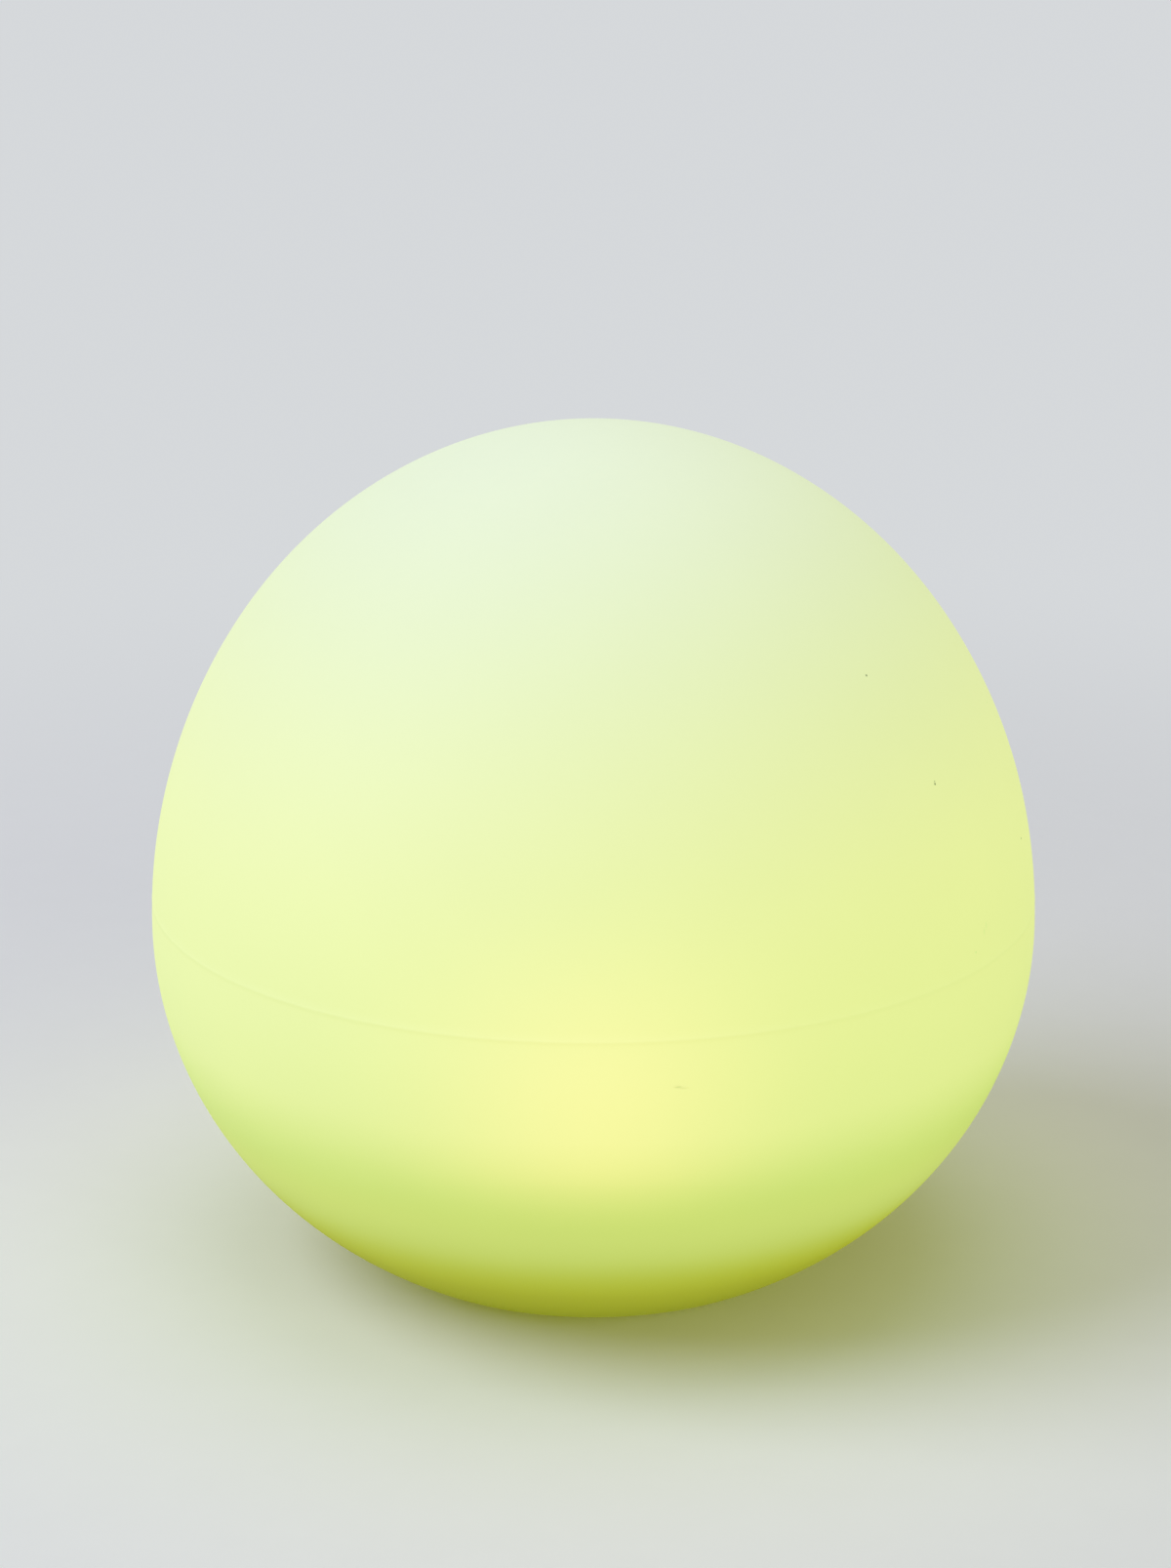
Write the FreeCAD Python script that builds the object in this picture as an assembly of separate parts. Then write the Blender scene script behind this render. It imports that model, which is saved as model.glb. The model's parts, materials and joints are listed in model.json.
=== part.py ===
"""Rechargeable garden globe light: a one-piece moulded globe on a twist-lock light module.

Millimetres, +Z up. The origin is on the ground, under the middle of the globe, and -Y is the front.
Each function makes one sub-part at its place, and the last lines write each one to parts/NAME.step.
"""
import FreeCAD
import Part
import math
import os

V = FreeCAD.Vector
AXIS = V(0, 0, 1)
TINY = 1e-5

# ---- Driving dimensions -------------------------------------------------------------------------
# Globe
globe_radius = 125.0         # at the widest level
dome_rise = 140.5            # from the widest level up to the crown
bowl_drop = 112.5            # vertical half-axis of the lower part, before its base is cut flat
base_ring_width = 6.861      # from the recess to where the bowl's oval meets the flat underside
shell_wall = 2.4
seam_rise = 8.5              # the mould's parting line lies this far above the widest level
seam_half_width = 0.8
seam_proud = 0.3
base_blend = 12.0            # radius where the bowl turns into the flat underside

# Underside of the globe, where the module goes in
foot_height = 2.0            # how far the rubber feet hold the globe off the ground
land_wall = 3.0              # thicker wall round the opening
gutter_height = 4.0          # inner floor beside the recess, above the underside
ring_screw_count = 6
ring_screw_inset = 3.4       # from the opening to the circle of screws
ring_screw_margin = 4.1      # from the circle of screws to the recess
screw_radius = 1.5           # M3
insert_radius = 2.1
insert_length = 7.0
insert_cover = 0.5           # wall between the insert and the land's underside
boss_wall = 1.2
boss_roof = 2.5              # over the insert

# Twist lock
neck_wall = 2.5
neck_gap = 0.5               # between the neck and the opening in the globe
flange_thickness = 3.0
flange_gap = 0.5             # between the flange's rim and the recess
gasket_thickness = 1.0
turn_gap = 0.3               # running gap between faces that slide past each other
lug_count = 3
lug_turn = 90.0              # place of the first lug, in degrees round the axis
ledge_arc = 56.0             # degrees
lug_arc = 44.0
stop_arc = 4.5
ledge_height = 3.0
lug_height = 3.0
lug_reach = 2.9              # from the module's wall outwards
lug_gap = 0.6                # between a lug and the neck
ledge_to_wall = 0.8          # from the module's wall to the ledge's inner edge

# Light module housing
tub_radius = 41.5
tub_wall = 2.2
tub_height = 45.0            # from the disc's top to the open rim
disc_thickness = 3.0
disc_gap = 0.7               # between the disc's rim and the recess
disc_chamfer = 1.0
plug_gap = 0.5               # between the plug zone and the neck
plug_height = 7.0
o_ring_radius = 1.5          # half the thickness of the sealing ring
o_ring_gap = 0.12            # between the ring and the neck
groove_play = 0.1            # above and below the sealing ring
grip_inset = 9.5             # from the arc of switch and port in to the round side of the finger pockets
grip_bar = 11.0              # width of the bar between them
grip_depth = 12.0
grip_wall = 2.0
grip_bar_wall = 2.5
grip_core_inset = 4.5        # from that round side to the end of the hollow in the bar
grip_roof_corner = 2.0
grip_corner = 3.0
foot_count = 4
foot_turn = 45.0
foot_radius = 5.5
foot_inset = 0.8             # between a foot and the disc's chamfer
foot_seat = 1.0              # how deep a foot sits in the disc
foot_rounding = 0.5

# Pillars inside the tub
pillar_inset = 5.0           # from the tub's outside to the circle of pillars
pillar_to_cell = 1.45        # gap beside the battery cell
pillar_radius = 4.2
pin_radius = 3.0             # upper part of a pillar, which passes the control board
board_post_angles = (60.0, 120.0)
board_post_inset = 6.3       # from the tub's inside
post_radius = 3.0
small_screw_radius = 1.1     # M2.2 self-tapping
small_head_radius = 2.1
small_head_height = 1.4
small_screw_bite = 7.0       # length of thread in a post
pilot_extra = 1.0            # how much deeper a pilot hole is than its screw
led_screw_bite = 5.0         # the same in the deck's short bosses
pilot_floor = 0.4            # the gap below those screws
head_rounding = 0.5
slot_width = 0.6             # of the cross in a screw's head
slot_depth = 0.7

# Battery cell, lying along X
cell_radius = 9.2
cell_length = 65.0
cell_clearance = 0.15
cell_lift = 0.5              # bed's lowest line over the grip pockets' roof
cell_contact = 1.0           # height of the raised contact
cell_contact_radius = 2.8
cell_edge = 0.8
cell_rim_groove = 0.6        # depth of the groove under the cell's rim
cell_rim_place = 5.5         # from the cell's end
cell_rim_width = 1.2
saddle_inset = 6.0           # from the round side of the finger pockets
saddle_thickness = 4.0
saddle_half_width = 12.0
saddle_height = 8.3
strap_width = 9.0
strap_thickness = 1.2
strap_post_gap = 0.65        # between the strap and its posts
strap_post_height = 8.0
tab_thickness = 0.3
tab_width = 6.0
tab_height = 14.7
battery_lead_foot = 1.8      # from the cell's middle line up to the lead's end
battery_lead_radius = 0.8

# Switch, port and lamp in the underside, on an arc about the middle
front = -90.0                # the light's front, in degrees round the axis
io_inset = 10.0              # from the tub's outside to the arc
button_angle = -125.0
lamp_angle = -103.0
anchor_angle = -82.0
port_angle = -60.0
io_screw_angles = (-142.0, -38.0)
io_board_arc = 114.0
io_board_inset = 6.3         # from the arc to the board's inner edge
io_board_height = 11.3       # from the disc's top to the board's underside
board_thickness = 1.6
button_radius = 4.7
button_play = 0.3
button_flange = 1.3          # wider than the cap by this
button_recess = 0.4          # below the disc's face
button_travel = 0.8
sleeve_height = 4.5
sleeve_wall = 1.8
button_shoulder = 1.3        # height of the shoulder that stops the button, above the disc's top
button_flange_height = 1.2
button_ring_radius = 0.7     # half the thickness of the button's sealing ring
button_ring_gap = 0.1        # between that ring and the bore
button_rounding = 0.5
button_stem_radius = 2.4
switch_side = 6.0
switch_height = 3.4
plunger_radius = 1.6
plunger_play = 0.1
plunger_inside = 0.9         # length of the plunger within the switch's case
plunger_reach = 1.8
socket_side = 9.0
socket_bore = 3.15
socket_depth = 9.5
socket_pin_radius = 1.0
socket_pin_recess = 1.0
socket_pin_rounding = 0.5
port_hole = 4.0
plug_cap_radius = 6.3
plug_cap_thickness = 1.5
plug_play = 0.4
plug_seat_gap = 0.2
plug_stub_radius = 3.4
plug_stub_height = 1.5
plug_stub_taper = 0.4
strap_half_width = 2.0
hinge_thickness = 1.0
anchor_head_radius = 3.2
anchor_stem_radius = 1.45
anchor_bulb = 0.7
anchor_bulb_height = 1.6
anchor_tip_radius = 0.9
hinge_gap = 0.5              # between the strap's bend and the anchor's head
tab_reach = 2.0              # the plug's pull tab stands out past its cap
lamp_pipe_radius = 1.5
lamp_collar = 1.1
lamp_collar_height = 1.5
status_led_size = (3.2, 2.8, 1.1)

# Control board and its components
deck_screw_reach = 7.4       # length of thread in a pillar
board_drop = 10.0            # from the tub's open rim down to the board's underside
board_rim_gap = 1.0          # between a board's rim and the tub
capacitor_radius = 4.0
capacitor_height = 11.0
capacitor_rounding = 0.6
capacitor_offset = 13.0      # in X, either side of the middle
capacitor_inset = 13.5       # in Y, from the circle of the board's posts
inductor_size = (12.0, 12.0, 6.0)
inductor_foot = 1.8
inductor_core_radius = 5.4
inductor_inset = 4.7         # from the curved board's inner edge to the middle of the inductor
chip_size = (10.0, 4.0, 1.6)
chip_place = (-12.0, 6.0)
chip_pins = 8                # on each long side
pin_width = 0.45
pin_reach = 1.0
pin_lift = 0.2
pin_thickness = 0.2
driver_size = (6.5, 6.0, 2.3)
driver_place = (12.0, -3.0)
driver_pitch = 9.0
driver_count = 3
driver_pins = 3
plug_housing = (12.0, 5.0, 5.0)
lead_radius = 0.6
lead_pitch = 2.2
io_lead_count = 4
led_lead_count = 5
led_lead_inset = 6.5         # from the outer ring of LEDs
led_lead_end = 4.4           # how far a lead runs across the LED board
led_lead_bend = 1.4

# Deck, LED board and clear cover
deck_gasket_thickness = 0.8
deck_thickness = 2.5
spigot_depth = 3.0
spigot_wall = 1.0
spigot_gap = 0.3
deck_boss_depth = 3.8
deck_rim_height = 6.0        # opaque rim round the clear cover, above the deck
deck_rim_wall = 1.3
pad_thickness = 0.5
led_board_inset = 2.5        # from the clear cover's dome
led_screw_inset = 3.5        # from the board's rim
led_screw_count = 3
led_screw_turn = 30.0
led_side = 5.0
led_height = 1.5
led_cup_radius = 2.0
led_cup_taper = 0.4
led_cup_depth = 0.6
outer_led_inset = 10.5       # from the board's rim
outer_led_count = 8
outer_led_turn = 22.5
inner_led_circle = 8.5
inner_led_angles = (0.0, 90.0, 180.0)  # the front is left free for the leads
receiver_size = (5.0, 4.0, 3.1)
receiver_window_radius = 1.8
grommet_radius = 7.5
grommet_flange = 1.2
grommet_flange_thickness = 0.8
cover_inset = 10.0           # from the tub's outside to the dome
cover_rise = 14.0
cover_wall = 1.6
cover_flange_thickness = 2.0
cover_seal_thickness = 0.8
cover_seal_width = 7.6
cover_rim_gap = 0.3          # between the cover's flange and the deck's rim
deck_screw_radius = 1.25
deck_head_radius = 2.4
deck_head_height = 1.8

fit_clearance = 0.05         # radial, for pieces pressed or slipped together
screw_play = 0.15            # radial, for a screw in a through hole
screw_squeeze = 0.1          # radial, from a screw's nominal size to its core

# ---- Radii and places that follow from the driving ones -----------------------------------------
tub_bore = tub_radius - tub_wall
neck_bore = tub_radius + lug_reach + lug_gap
opening_radius = neck_bore + neck_wall + neck_gap
ring_screw_circle = opening_radius + ring_screw_inset
recess_radius = ring_screw_circle + ring_screw_margin
rim_radius = recess_radius + base_ring_width
bowl_cut = bowl_drop * math.sqrt(1.0 - (rim_radius / globe_radius) ** 2)  # widest level to underside
disc_radius = recess_radius - disc_gap
foot_circle = disc_radius - disc_chamfer - foot_inset - foot_radius
plug_radius = neck_bore - plug_gap
groove_radius = neck_bore - 2 * (o_ring_radius + o_ring_gap)
io_circle = tub_radius - io_inset
io_board_inner = io_circle - io_board_inset
grip_radius = io_circle - grip_inset
grip_core_length = 2 * (grip_radius - grip_core_inset)
saddle_offset = grip_radius - saddle_inset
strap_post_offset = cell_radius + cell_clearance + strap_thickness + strap_post_gap + post_radius
board_post_circle = tub_bore - board_post_inset
pillar_circle = tub_radius - pillar_inset
pillar_angle = math.degrees(math.asin((cell_radius + pillar_to_cell + pillar_radius) / pillar_circle))
pillar_angles = (pillar_angle, 180.0 - pillar_angle, 180.0 + pillar_angle, 360.0 - pillar_angle)
cover_radius = tub_radius - cover_inset
cover_rim_radius = tub_radius - deck_rim_wall - cover_rim_gap
led_board_radius = cover_radius - led_board_inset
led_screw_circle = led_board_radius - led_screw_inset
outer_led_circle = led_board_radius - outer_led_inset
led_lead_place = led_lead_inset - outer_led_circle

# ---- Levels, from the ground up -----------------------------------------------------------------
underside = foot_height
widest = underside + bowl_cut
crown = widest + dome_rise
seam = widest + seam_rise
disc_top = underside + disc_thickness
flange_bottom = disc_top + turn_gap
flange_top = flange_bottom + flange_thickness
land_bottom = flange_top + gasket_thickness
land_top = land_bottom + land_wall
insert_bottom = land_bottom + insert_cover
insert_top = insert_bottom + insert_length
plug_top = disc_top + plug_height
ledge_bottom = plug_top + 3 * turn_gap
ledge_top = ledge_bottom + ledge_height
lug_bottom = ledge_top + turn_gap
lug_top = lug_bottom + lug_height
neck_top = lug_top + 3 * turn_gap
tub_top = disc_top + tub_height
grip_roof = underside + grip_depth + grip_wall
cell_level = grip_roof + cell_lift + cell_clearance + cell_radius
io_board_bottom = disc_top + io_board_height
io_board_top = io_board_bottom + board_thickness
control_bottom = tub_top - board_drop
control_top = control_bottom + board_thickness
deck_bottom = tub_top + deck_gasket_thickness
deck_top = deck_bottom + deck_thickness
led_board_bottom = deck_top + pad_thickness
led_board_top = led_board_bottom + board_thickness
cover_bottom = deck_top + cover_seal_thickness
cover_flange_top = cover_bottom + cover_flange_thickness
strap_post_top = grip_roof + strap_post_height


# ---- Shapes that many pieces are made of --------------------------------------------------------
def polar(radius, degrees):
    """X and Y of a point on a circle about the globe's axis."""
    angle = math.radians(degrees)
    return radius * math.cos(angle), radius * math.sin(angle)


def rod(radius, bottom, top, x=0.0, y=0.0):
    return Part.makeCylinder(radius, top - bottom, V(x, y, bottom))


def rod_along_x(radius, start, end, level):
    return Part.makeCylinder(radius, end - start, V(start, 0, level), V(1, 0, 0))


def tube(outer, inner, bottom, top, x=0.0, y=0.0):
    return rod(outer, bottom, top, x, y).cut(rod(inner, bottom, top, x, y))


def cone(lower, upper, bottom, top, x=0.0, y=0.0):
    return Part.makeCone(lower, upper, top - bottom, V(x, y, bottom))


def block(size, x, y, bottom):
    """A box centred on x and y, standing on bottom."""
    length, width, height = size
    return Part.makeBox(length, width, height, V(x - length / 2, y - width / 2, bottom))


def turned(points):
    """A solid turned about the axis from (radius, height) points."""
    outline = Part.makePolygon([V(r, 0, z) for r, z in points] + [V(points[0][0], 0, points[0][1])])
    return Part.Face(outline).revolve(V(0, 0, 0), AXIS, 360)


def ring_segment(inner, outer, bottom, top, middle, arc):
    """A piece of a ring, arc degrees long about the middle angle."""
    section = Part.Face(Part.makePolygon([
        V(inner, 0, bottom), V(outer, 0, bottom), V(outer, 0, top), V(inner, 0, top), V(inner, 0, bottom)]))
    solid = section.revolve(V(0, 0, 0), AXIS, arc)
    solid.rotate(V(0, 0, 0), AXIS, middle - arc / 2)
    return solid


def round_ring(major, minor, level):
    return Part.makeTorus(major, minor, V(0, 0, level))


def spread(count, start=0.0):
    """Angles of count pieces, evenly round the axis."""
    return [start + 360.0 * k / count for k in range(count)]


def together(solids):
    """Separate solids that share one node."""
    return Part.makeCompound(solids)


def cross_slot(length, bottom, x, y):
    """The cross for a screwdriver, as a solid."""
    slot = block((length, slot_width, slot_depth), x, y, bottom)
    return slot.fuse(block((slot_width, length, slot_depth), x, y, bottom))


def round_edges_at(solid, level, radius):
    """Rounds a solid's closed edges that lie wholly at a level."""
    edges = [e for e in solid.Edges
             if e.Closed and abs(e.BoundBox.ZMin - level) < TINY and abs(e.BoundBox.ZMax - level) < TINY]
    return solid.makeFillet(radius, edges)


def pan_screw(radius, head_radius, head_height, seat, length, x, y):
    """A screw that points down: its head stands on the seat, with a cross-slot in its top."""
    top = seat + head_height
    head = round_edges_at(rod(head_radius, seat, top, x, y), top, head_rounding)
    screw = head.fuse(rod(radius, seat - length, seat, x, y))
    return screw.cut(cross_slot(head_radius, top - slot_depth, x, y))


# ---- Globe --------------------------------------------------------------------------------------
def oval_radius(level, side, rise):
    """Radius of an oval of half-axes side and rise at a level, about the widest level."""
    return side * math.sqrt(1.0 - ((level - widest) / rise) ** 2)


def oval_arc(side, rise, start, end):
    """The part of an oval about the axis between two (radius, height) points on it."""
    centre, tall, wide = V(0, 0, widest), V(0, 0, widest + rise), V(side, 0, widest)
    oval = Part.Ellipse(tall, wide, centre) if rise > side else Part.Ellipse(wide, tall, centre)
    a, b = (oval.parameter(V(r, 0, z)) for r, z in (start, end))
    if (b - a) % (2 * math.pi) > math.pi:
        a, b = b, a
    return Part.ArcOfEllipse(oval, a, b if b > a else b + 2 * math.pi).toShape()


def line(start, end):
    return Part.LineSegment(V(start[0], 0, start[1]), V(end[0], 0, end[1])).toShape()


def globe_outline():
    """Half of the globe's section: an egg-shaped wall, and a step up to a land round the opening."""
    inner_side, inner_rise, inner_drop = (x - shell_wall for x in (globe_radius, dome_rise, bowl_drop))
    rim = (rim_radius, underside)
    widest_out, widest_in = (globe_radius, widest), (inner_side, widest)
    seam_low, seam_high = (
        (oval_radius(z, globe_radius, dome_rise), z)
        for z in (seam - seam_half_width, seam + seam_half_width))
    seam_top = (oval_radius(seam, globe_radius, dome_rise) + seam_proud, seam)
    gutter = underside + gutter_height
    foot_in = (oval_radius(gutter, inner_side, inner_drop), gutter)
    wall_out = recess_radius + land_wall
    bead = Part.Arc(*(V(r, 0, z) for r, z in (seam_low, seam_top, seam_high))).toShape()
    edges = [
        line((recess_radius, underside), rim),
        oval_arc(globe_radius, bowl_drop, rim, widest_out),
        oval_arc(globe_radius, dome_rise, widest_out, seam_low),
        bead,
        oval_arc(globe_radius, dome_rise, seam_high, (0, crown)),
        line((0, crown), (0, crown - shell_wall)),
        oval_arc(inner_side, inner_rise, (0, crown - shell_wall), widest_in),
        oval_arc(inner_side, inner_drop, widest_in, foot_in),
    ]
    corners = [foot_in, (wall_out, gutter), (wall_out, land_top), (opening_radius, land_top),
               (opening_radius, land_bottom), (recess_radius, land_bottom), (recess_radius, underside)]
    edges += [line(a, b) for a, b in zip(corners, corners[1:])]
    return Part.Face(Part.Wire(Part.__sortEdges__(edges)))


def globe_shell():
    """One moulding: the wall, the parting line round it, and six bosses over the land."""
    shell = globe_outline().revolve(V(0, 0, 0), AXIS, 360)
    turn = [e for e in shell.Edges if e.Closed and abs(e.BoundBox.ZMax - underside) < TINY
            and e.BoundBox.XMax > recess_radius + TINY]
    shell = shell.makeFillet(base_blend, turn)
    boss_radius = insert_radius + boss_wall
    for angle in spread(ring_screw_count):
        x, y = polar(ring_screw_circle, angle)
        shell = shell.fuse(rod(boss_radius, land_top - boss_wall, insert_top + boss_roof, x, y))
        shell = shell.cut(rod(insert_radius + fit_clearance, insert_bottom, insert_top, x, y))
        shell = shell.cut(rod(screw_radius + screw_play, land_bottom, insert_top + boss_wall, x, y))
    return shell.removeSplitter()


def shell_inserts():
    """Brass threaded inserts, one in each boss."""
    return together([
        tube(insert_radius, screw_radius + fit_clearance, insert_bottom, insert_top,
             *polar(ring_screw_circle, a)) for a in spread(ring_screw_count)])


def countersink(play, x, y):
    """The cone of a screw's head in the lock ring's flange, wider by play all round."""
    top = flange_bottom + screw_radius
    return cone(2 * screw_radius + play, screw_radius + play, flange_bottom, top, x, y)


def lock_ring():
    """A flange under the land, a neck in the opening, and three ledges that carry the module's lugs."""
    ring = tube(recess_radius - flange_gap, neck_bore, flange_bottom, flange_top)
    ring = ring.fuse(tube(neck_bore + neck_wall, neck_bore, flange_top, neck_top))
    inner, root = tub_radius + ledge_to_wall, neck_bore + neck_wall / 2
    for angle in spread(lug_count, lug_turn):
        stop = angle + ledge_arc / 2 - stop_arc / 2
        ring = ring.fuse(ring_segment(inner, root, ledge_bottom, ledge_top, angle, ledge_arc))
        ring = ring.fuse(ring_segment(inner, root, ledge_top, neck_top, stop, stop_arc))
    for angle in spread(ring_screw_count):
        x, y = polar(ring_screw_circle, angle)
        ring = ring.cut(rod(screw_radius + screw_play, flange_bottom, flange_top, x, y))
        ring = ring.cut(countersink(screw_play, x, y))
    return ring.removeSplitter()


def lock_ring_gasket():
    """A flat ring between the lock ring's flange and the globe's land."""
    gasket = tube(recess_radius - flange_gap, opening_radius, flange_top, land_bottom)
    for angle in spread(ring_screw_count):
        x, y = polar(ring_screw_circle, angle)
        gasket = gasket.cut(rod(screw_radius + screw_play, flange_top, land_bottom, x, y))
    return gasket


def lock_ring_screws():
    """Countersunk screws up through the flange into the inserts."""
    tip = insert_top - screw_radius
    screws = []
    for angle in spread(ring_screw_count):
        x, y = polar(ring_screw_circle, angle)
        screw = countersink(0, x, y).fuse(rod(screw_radius, flange_bottom + screw_radius, tip, x, y))
        screws.append(screw.cut(cross_slot(2 * screw_radius, flange_bottom, x, y)))
    return together(screws)


# ---- Light module housing -----------------------------------------------------------------------
def grip_pocket(side):
    """The space for the fingers on one side of the grip bar: a round-backed pocket, side 1 or -1 in Y."""
    pocket = rod(grip_radius, underside, underside + grip_depth)
    depth = grip_radius - grip_bar / 2
    keep = block((2 * grip_radius, depth, grip_depth), 0, side * (grip_bar / 2 + depth / 2), underside)
    pocket = pocket.common(keep)
    upright = [e for e in pocket.Edges if e.BoundBox.ZLength > grip_depth - TINY]
    pocket = pocket.makeFillet(grip_corner, upright)
    roof = [e for e in pocket.Edges if e.BoundBox.ZMin > underside + grip_depth - TINY]
    return pocket.makeFillet(grip_roof_corner, roof)


def port_frame(shape):
    """Moves a shape from the port's own frame (origin at the anchor, +X to the port) into place."""
    shape.rotate(V(0, 0, 0), AXIS, strap_direction())
    shape.translate(V(*polar(io_circle, anchor_angle), 0))
    return shape


def strap_direction():
    """Angle of the line from the plug's anchor to the port, in degrees about Z."""
    ax, ay = polar(io_circle, anchor_angle)
    px, py = polar(io_circle, port_angle)
    return math.degrees(math.atan2(py - ay, px - ax))


def strap_length():
    """From the plug's anchor to the port's middle."""
    return 2 * io_circle * math.sin(math.radians(abs(port_angle - anchor_angle)) / 2)


def port_cut():
    """The recess for the plug, its strap and its anchor, and the hole for the charging lead."""
    reach = strap_length()
    top = underside + plug_cap_thickness + plug_seat_gap
    cap = plug_cap_radius + plug_play
    half = strap_half_width + plug_play
    head = anchor_head_radius + plug_play
    depth = top - underside
    cut = rod(cap, underside, top, reach).fuse(rod(head, underside, top))
    cut = cut.fuse(Part.makeBox(reach + cap + tab_reach, 2 * half, depth, V(0, -half, underside)))
    cut = cut.fuse(rod(port_hole, underside, disc_top, reach))
    cut = cut.fuse(rod(anchor_stem_radius + fit_clearance, underside, disc_top))
    return port_frame(cut)


def button_cut():
    """The stepped bore that the button slides in."""
    x, y = polar(io_circle, button_angle)
    shoulder = disc_top + button_shoulder
    bore = rod(button_radius + button_play, underside, shoulder, x, y)
    wide = button_radius + button_flange + button_play
    return bore.fuse(rod(wide, shoulder, disc_top + sleeve_height, x, y))


def tub_inside():
    """What stands up from the disc in the tub: pillars, posts, saddles and the grip pockets' roof."""
    pieces = [rod(grip_radius + grip_wall, disc_top, grip_roof)]
    for angle in pillar_angles:
        x, y = polar(pillar_circle, angle)
        pieces.append(rod(pillar_radius, disc_top, control_bottom, x, y))
        pieces.append(rod(pin_radius, control_bottom, tub_top, x, y))
    for angle in board_post_angles:
        pieces.append(rod(post_radius, disc_top, control_bottom, *polar(board_post_circle, angle)))
    for angle in io_screw_angles:
        pieces.append(rod(post_radius, disc_top, io_board_bottom, *polar(io_circle, angle)))
    for side in (-1, 1):
        pieces.append(block((saddle_thickness, 2 * saddle_half_width, saddle_height),
                            side * saddle_offset, 0, grip_roof))
        pieces.append(rod(post_radius, grip_roof, strap_post_top, 0, side * strap_post_offset))
    wide = button_radius + button_flange + button_play + sleeve_wall
    pieces.append(rod(wide, disc_top, disc_top + sleeve_height, *polar(io_circle, button_angle)))
    return pieces


def pilot_holes():
    """Holes for the self-tapping screws, from the top of each post."""
    holes = []
    bore = small_screw_radius - fit_clearance
    depth = small_screw_bite + pilot_extra
    for angle in board_post_angles:
        holes.append(rod(bore, control_bottom - depth, control_bottom, *polar(board_post_circle, angle)))
    for angle in io_screw_angles:
        holes.append(rod(bore, io_board_bottom - depth, io_board_bottom, *polar(io_circle, angle)))
    for side in (-1, 1):
        holes.append(rod(bore, strap_post_top - strap_post_height + pilot_floor, strap_post_top,
                         0, side * strap_post_offset))
    for angle in pillar_angles:
        x, y = polar(pillar_circle, angle)
        bottom = tub_top - deck_screw_reach - pilot_extra
        holes.append(rod(deck_screw_radius - fit_clearance, bottom, tub_top, x, y))
    return holes


def base_tub():
    """The module's housing: a disc with feet and a grip bar, a sealed plug zone, lugs and a deep tub."""
    groove_half = o_ring_radius + groove_play
    groove = disc_top + plug_height / 2
    tub = turned([
        (0, underside), (disc_radius - disc_chamfer, underside), (disc_radius, underside + disc_chamfer),
        (disc_radius, disc_top), (plug_radius, disc_top), (plug_radius, groove - groove_half),
        (groove_radius, groove - groove_half), (groove_radius, groove + groove_half),
        (plug_radius, groove + groove_half), (plug_radius, plug_top), (tub_radius, plug_top),
        (tub_radius, tub_top), (tub_bore, tub_top), (tub_bore, disc_top), (0, disc_top)])
    root = tub_radius - tub_wall / 2
    for angle in spread(lug_count, lug_turn):
        tub = tub.fuse(ring_segment(root, tub_radius + lug_reach, lug_bottom, lug_top, angle, lug_arc))
    for piece in tub_inside():
        tub = tub.fuse(piece)
    bed = rod_along_x(cell_radius + cell_clearance, -cell_length / 2, cell_length / 2, cell_level)
    core = block((grip_core_length, grip_bar - 2 * grip_bar_wall, grip_depth), 0, 0, disc_top)
    cuts = [grip_pocket(1), grip_pocket(-1), bed, core, port_cut(), button_cut()]
    cuts.append(rod(lamp_pipe_radius + fit_clearance, underside, disc_top, *polar(io_circle, lamp_angle)))
    for angle in spread(foot_count, foot_turn):
        x, y = polar(foot_circle, angle)
        cuts.append(rod(foot_radius + fit_clearance, underside, underside + foot_seat, x, y))
    cuts += pilot_holes()
    for piece in cuts:
        tub = tub.cut(piece)
    return tub.removeSplitter()


def base_o_ring():
    return round_ring(neck_bore - o_ring_radius - o_ring_gap, o_ring_radius, disc_top + plug_height / 2)


def rubber_feet():
    feet = []
    for angle in spread(foot_count, foot_turn):
        x, y = polar(foot_circle, angle)
        feet.append(round_edges_at(rod(foot_radius, 0, foot_height + foot_seat, x, y), 0, foot_rounding))
    return together(feet)


# ---- Battery ------------------------------------------------------------------------------------
def battery_cell():
    """A cylindrical cell along X, with its raised contact at +X and a rolled rim."""
    half = cell_length / 2
    body = rod_along_x(cell_radius, -half, half - cell_contact, cell_level)
    body = body.makeFillet(cell_edge, [e for e in body.Edges if e.Closed])
    rim = half - cell_rim_place
    groove = rod_along_x(cell_radius + cell_rim_groove, rim, rim + cell_rim_width, cell_level)
    groove = groove.cut(rod_along_x(cell_radius - cell_rim_groove, rim, rim + cell_rim_width, cell_level))
    contact = rod_along_x(cell_contact_radius, half - 2 * cell_contact, half, cell_level)
    return body.cut(groove).fuse(contact)


def battery_tabs():
    """Nickel strips welded to the cell's ends, which carry the leads."""
    size = (tab_thickness, tab_width, tab_height)
    x = cell_length / 2 + tab_thickness / 2
    return together([block(size, side * x, 0, cell_level - tab_height / 2) for side in (-1, 1)])


def battery_strap():
    """An arched clip over the cell, screwed to a post on each side."""
    inner, half = cell_radius + cell_clearance, strap_width / 2
    foot_length = strap_post_offset + post_radius
    strap = rod_along_x(inner + strap_thickness, -half, half, cell_level)
    strap = strap.fuse(block((strap_width, 2 * foot_length, strap_thickness), 0, 0, strap_post_top))
    below = block((strap_width, 2 * foot_length, 2 * cell_radius), 0, 0, strap_post_top - 2 * cell_radius)
    strap = strap.cut(below)
    strap = strap.cut(rod_along_x(inner, -half, half, cell_level))
    for side in (-1, 1):
        strap = strap.cut(rod(small_screw_radius + screw_play, strap_post_top,
                              strap_post_top + strap_thickness, 0, side * strap_post_offset))
    return strap.removeSplitter()


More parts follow.
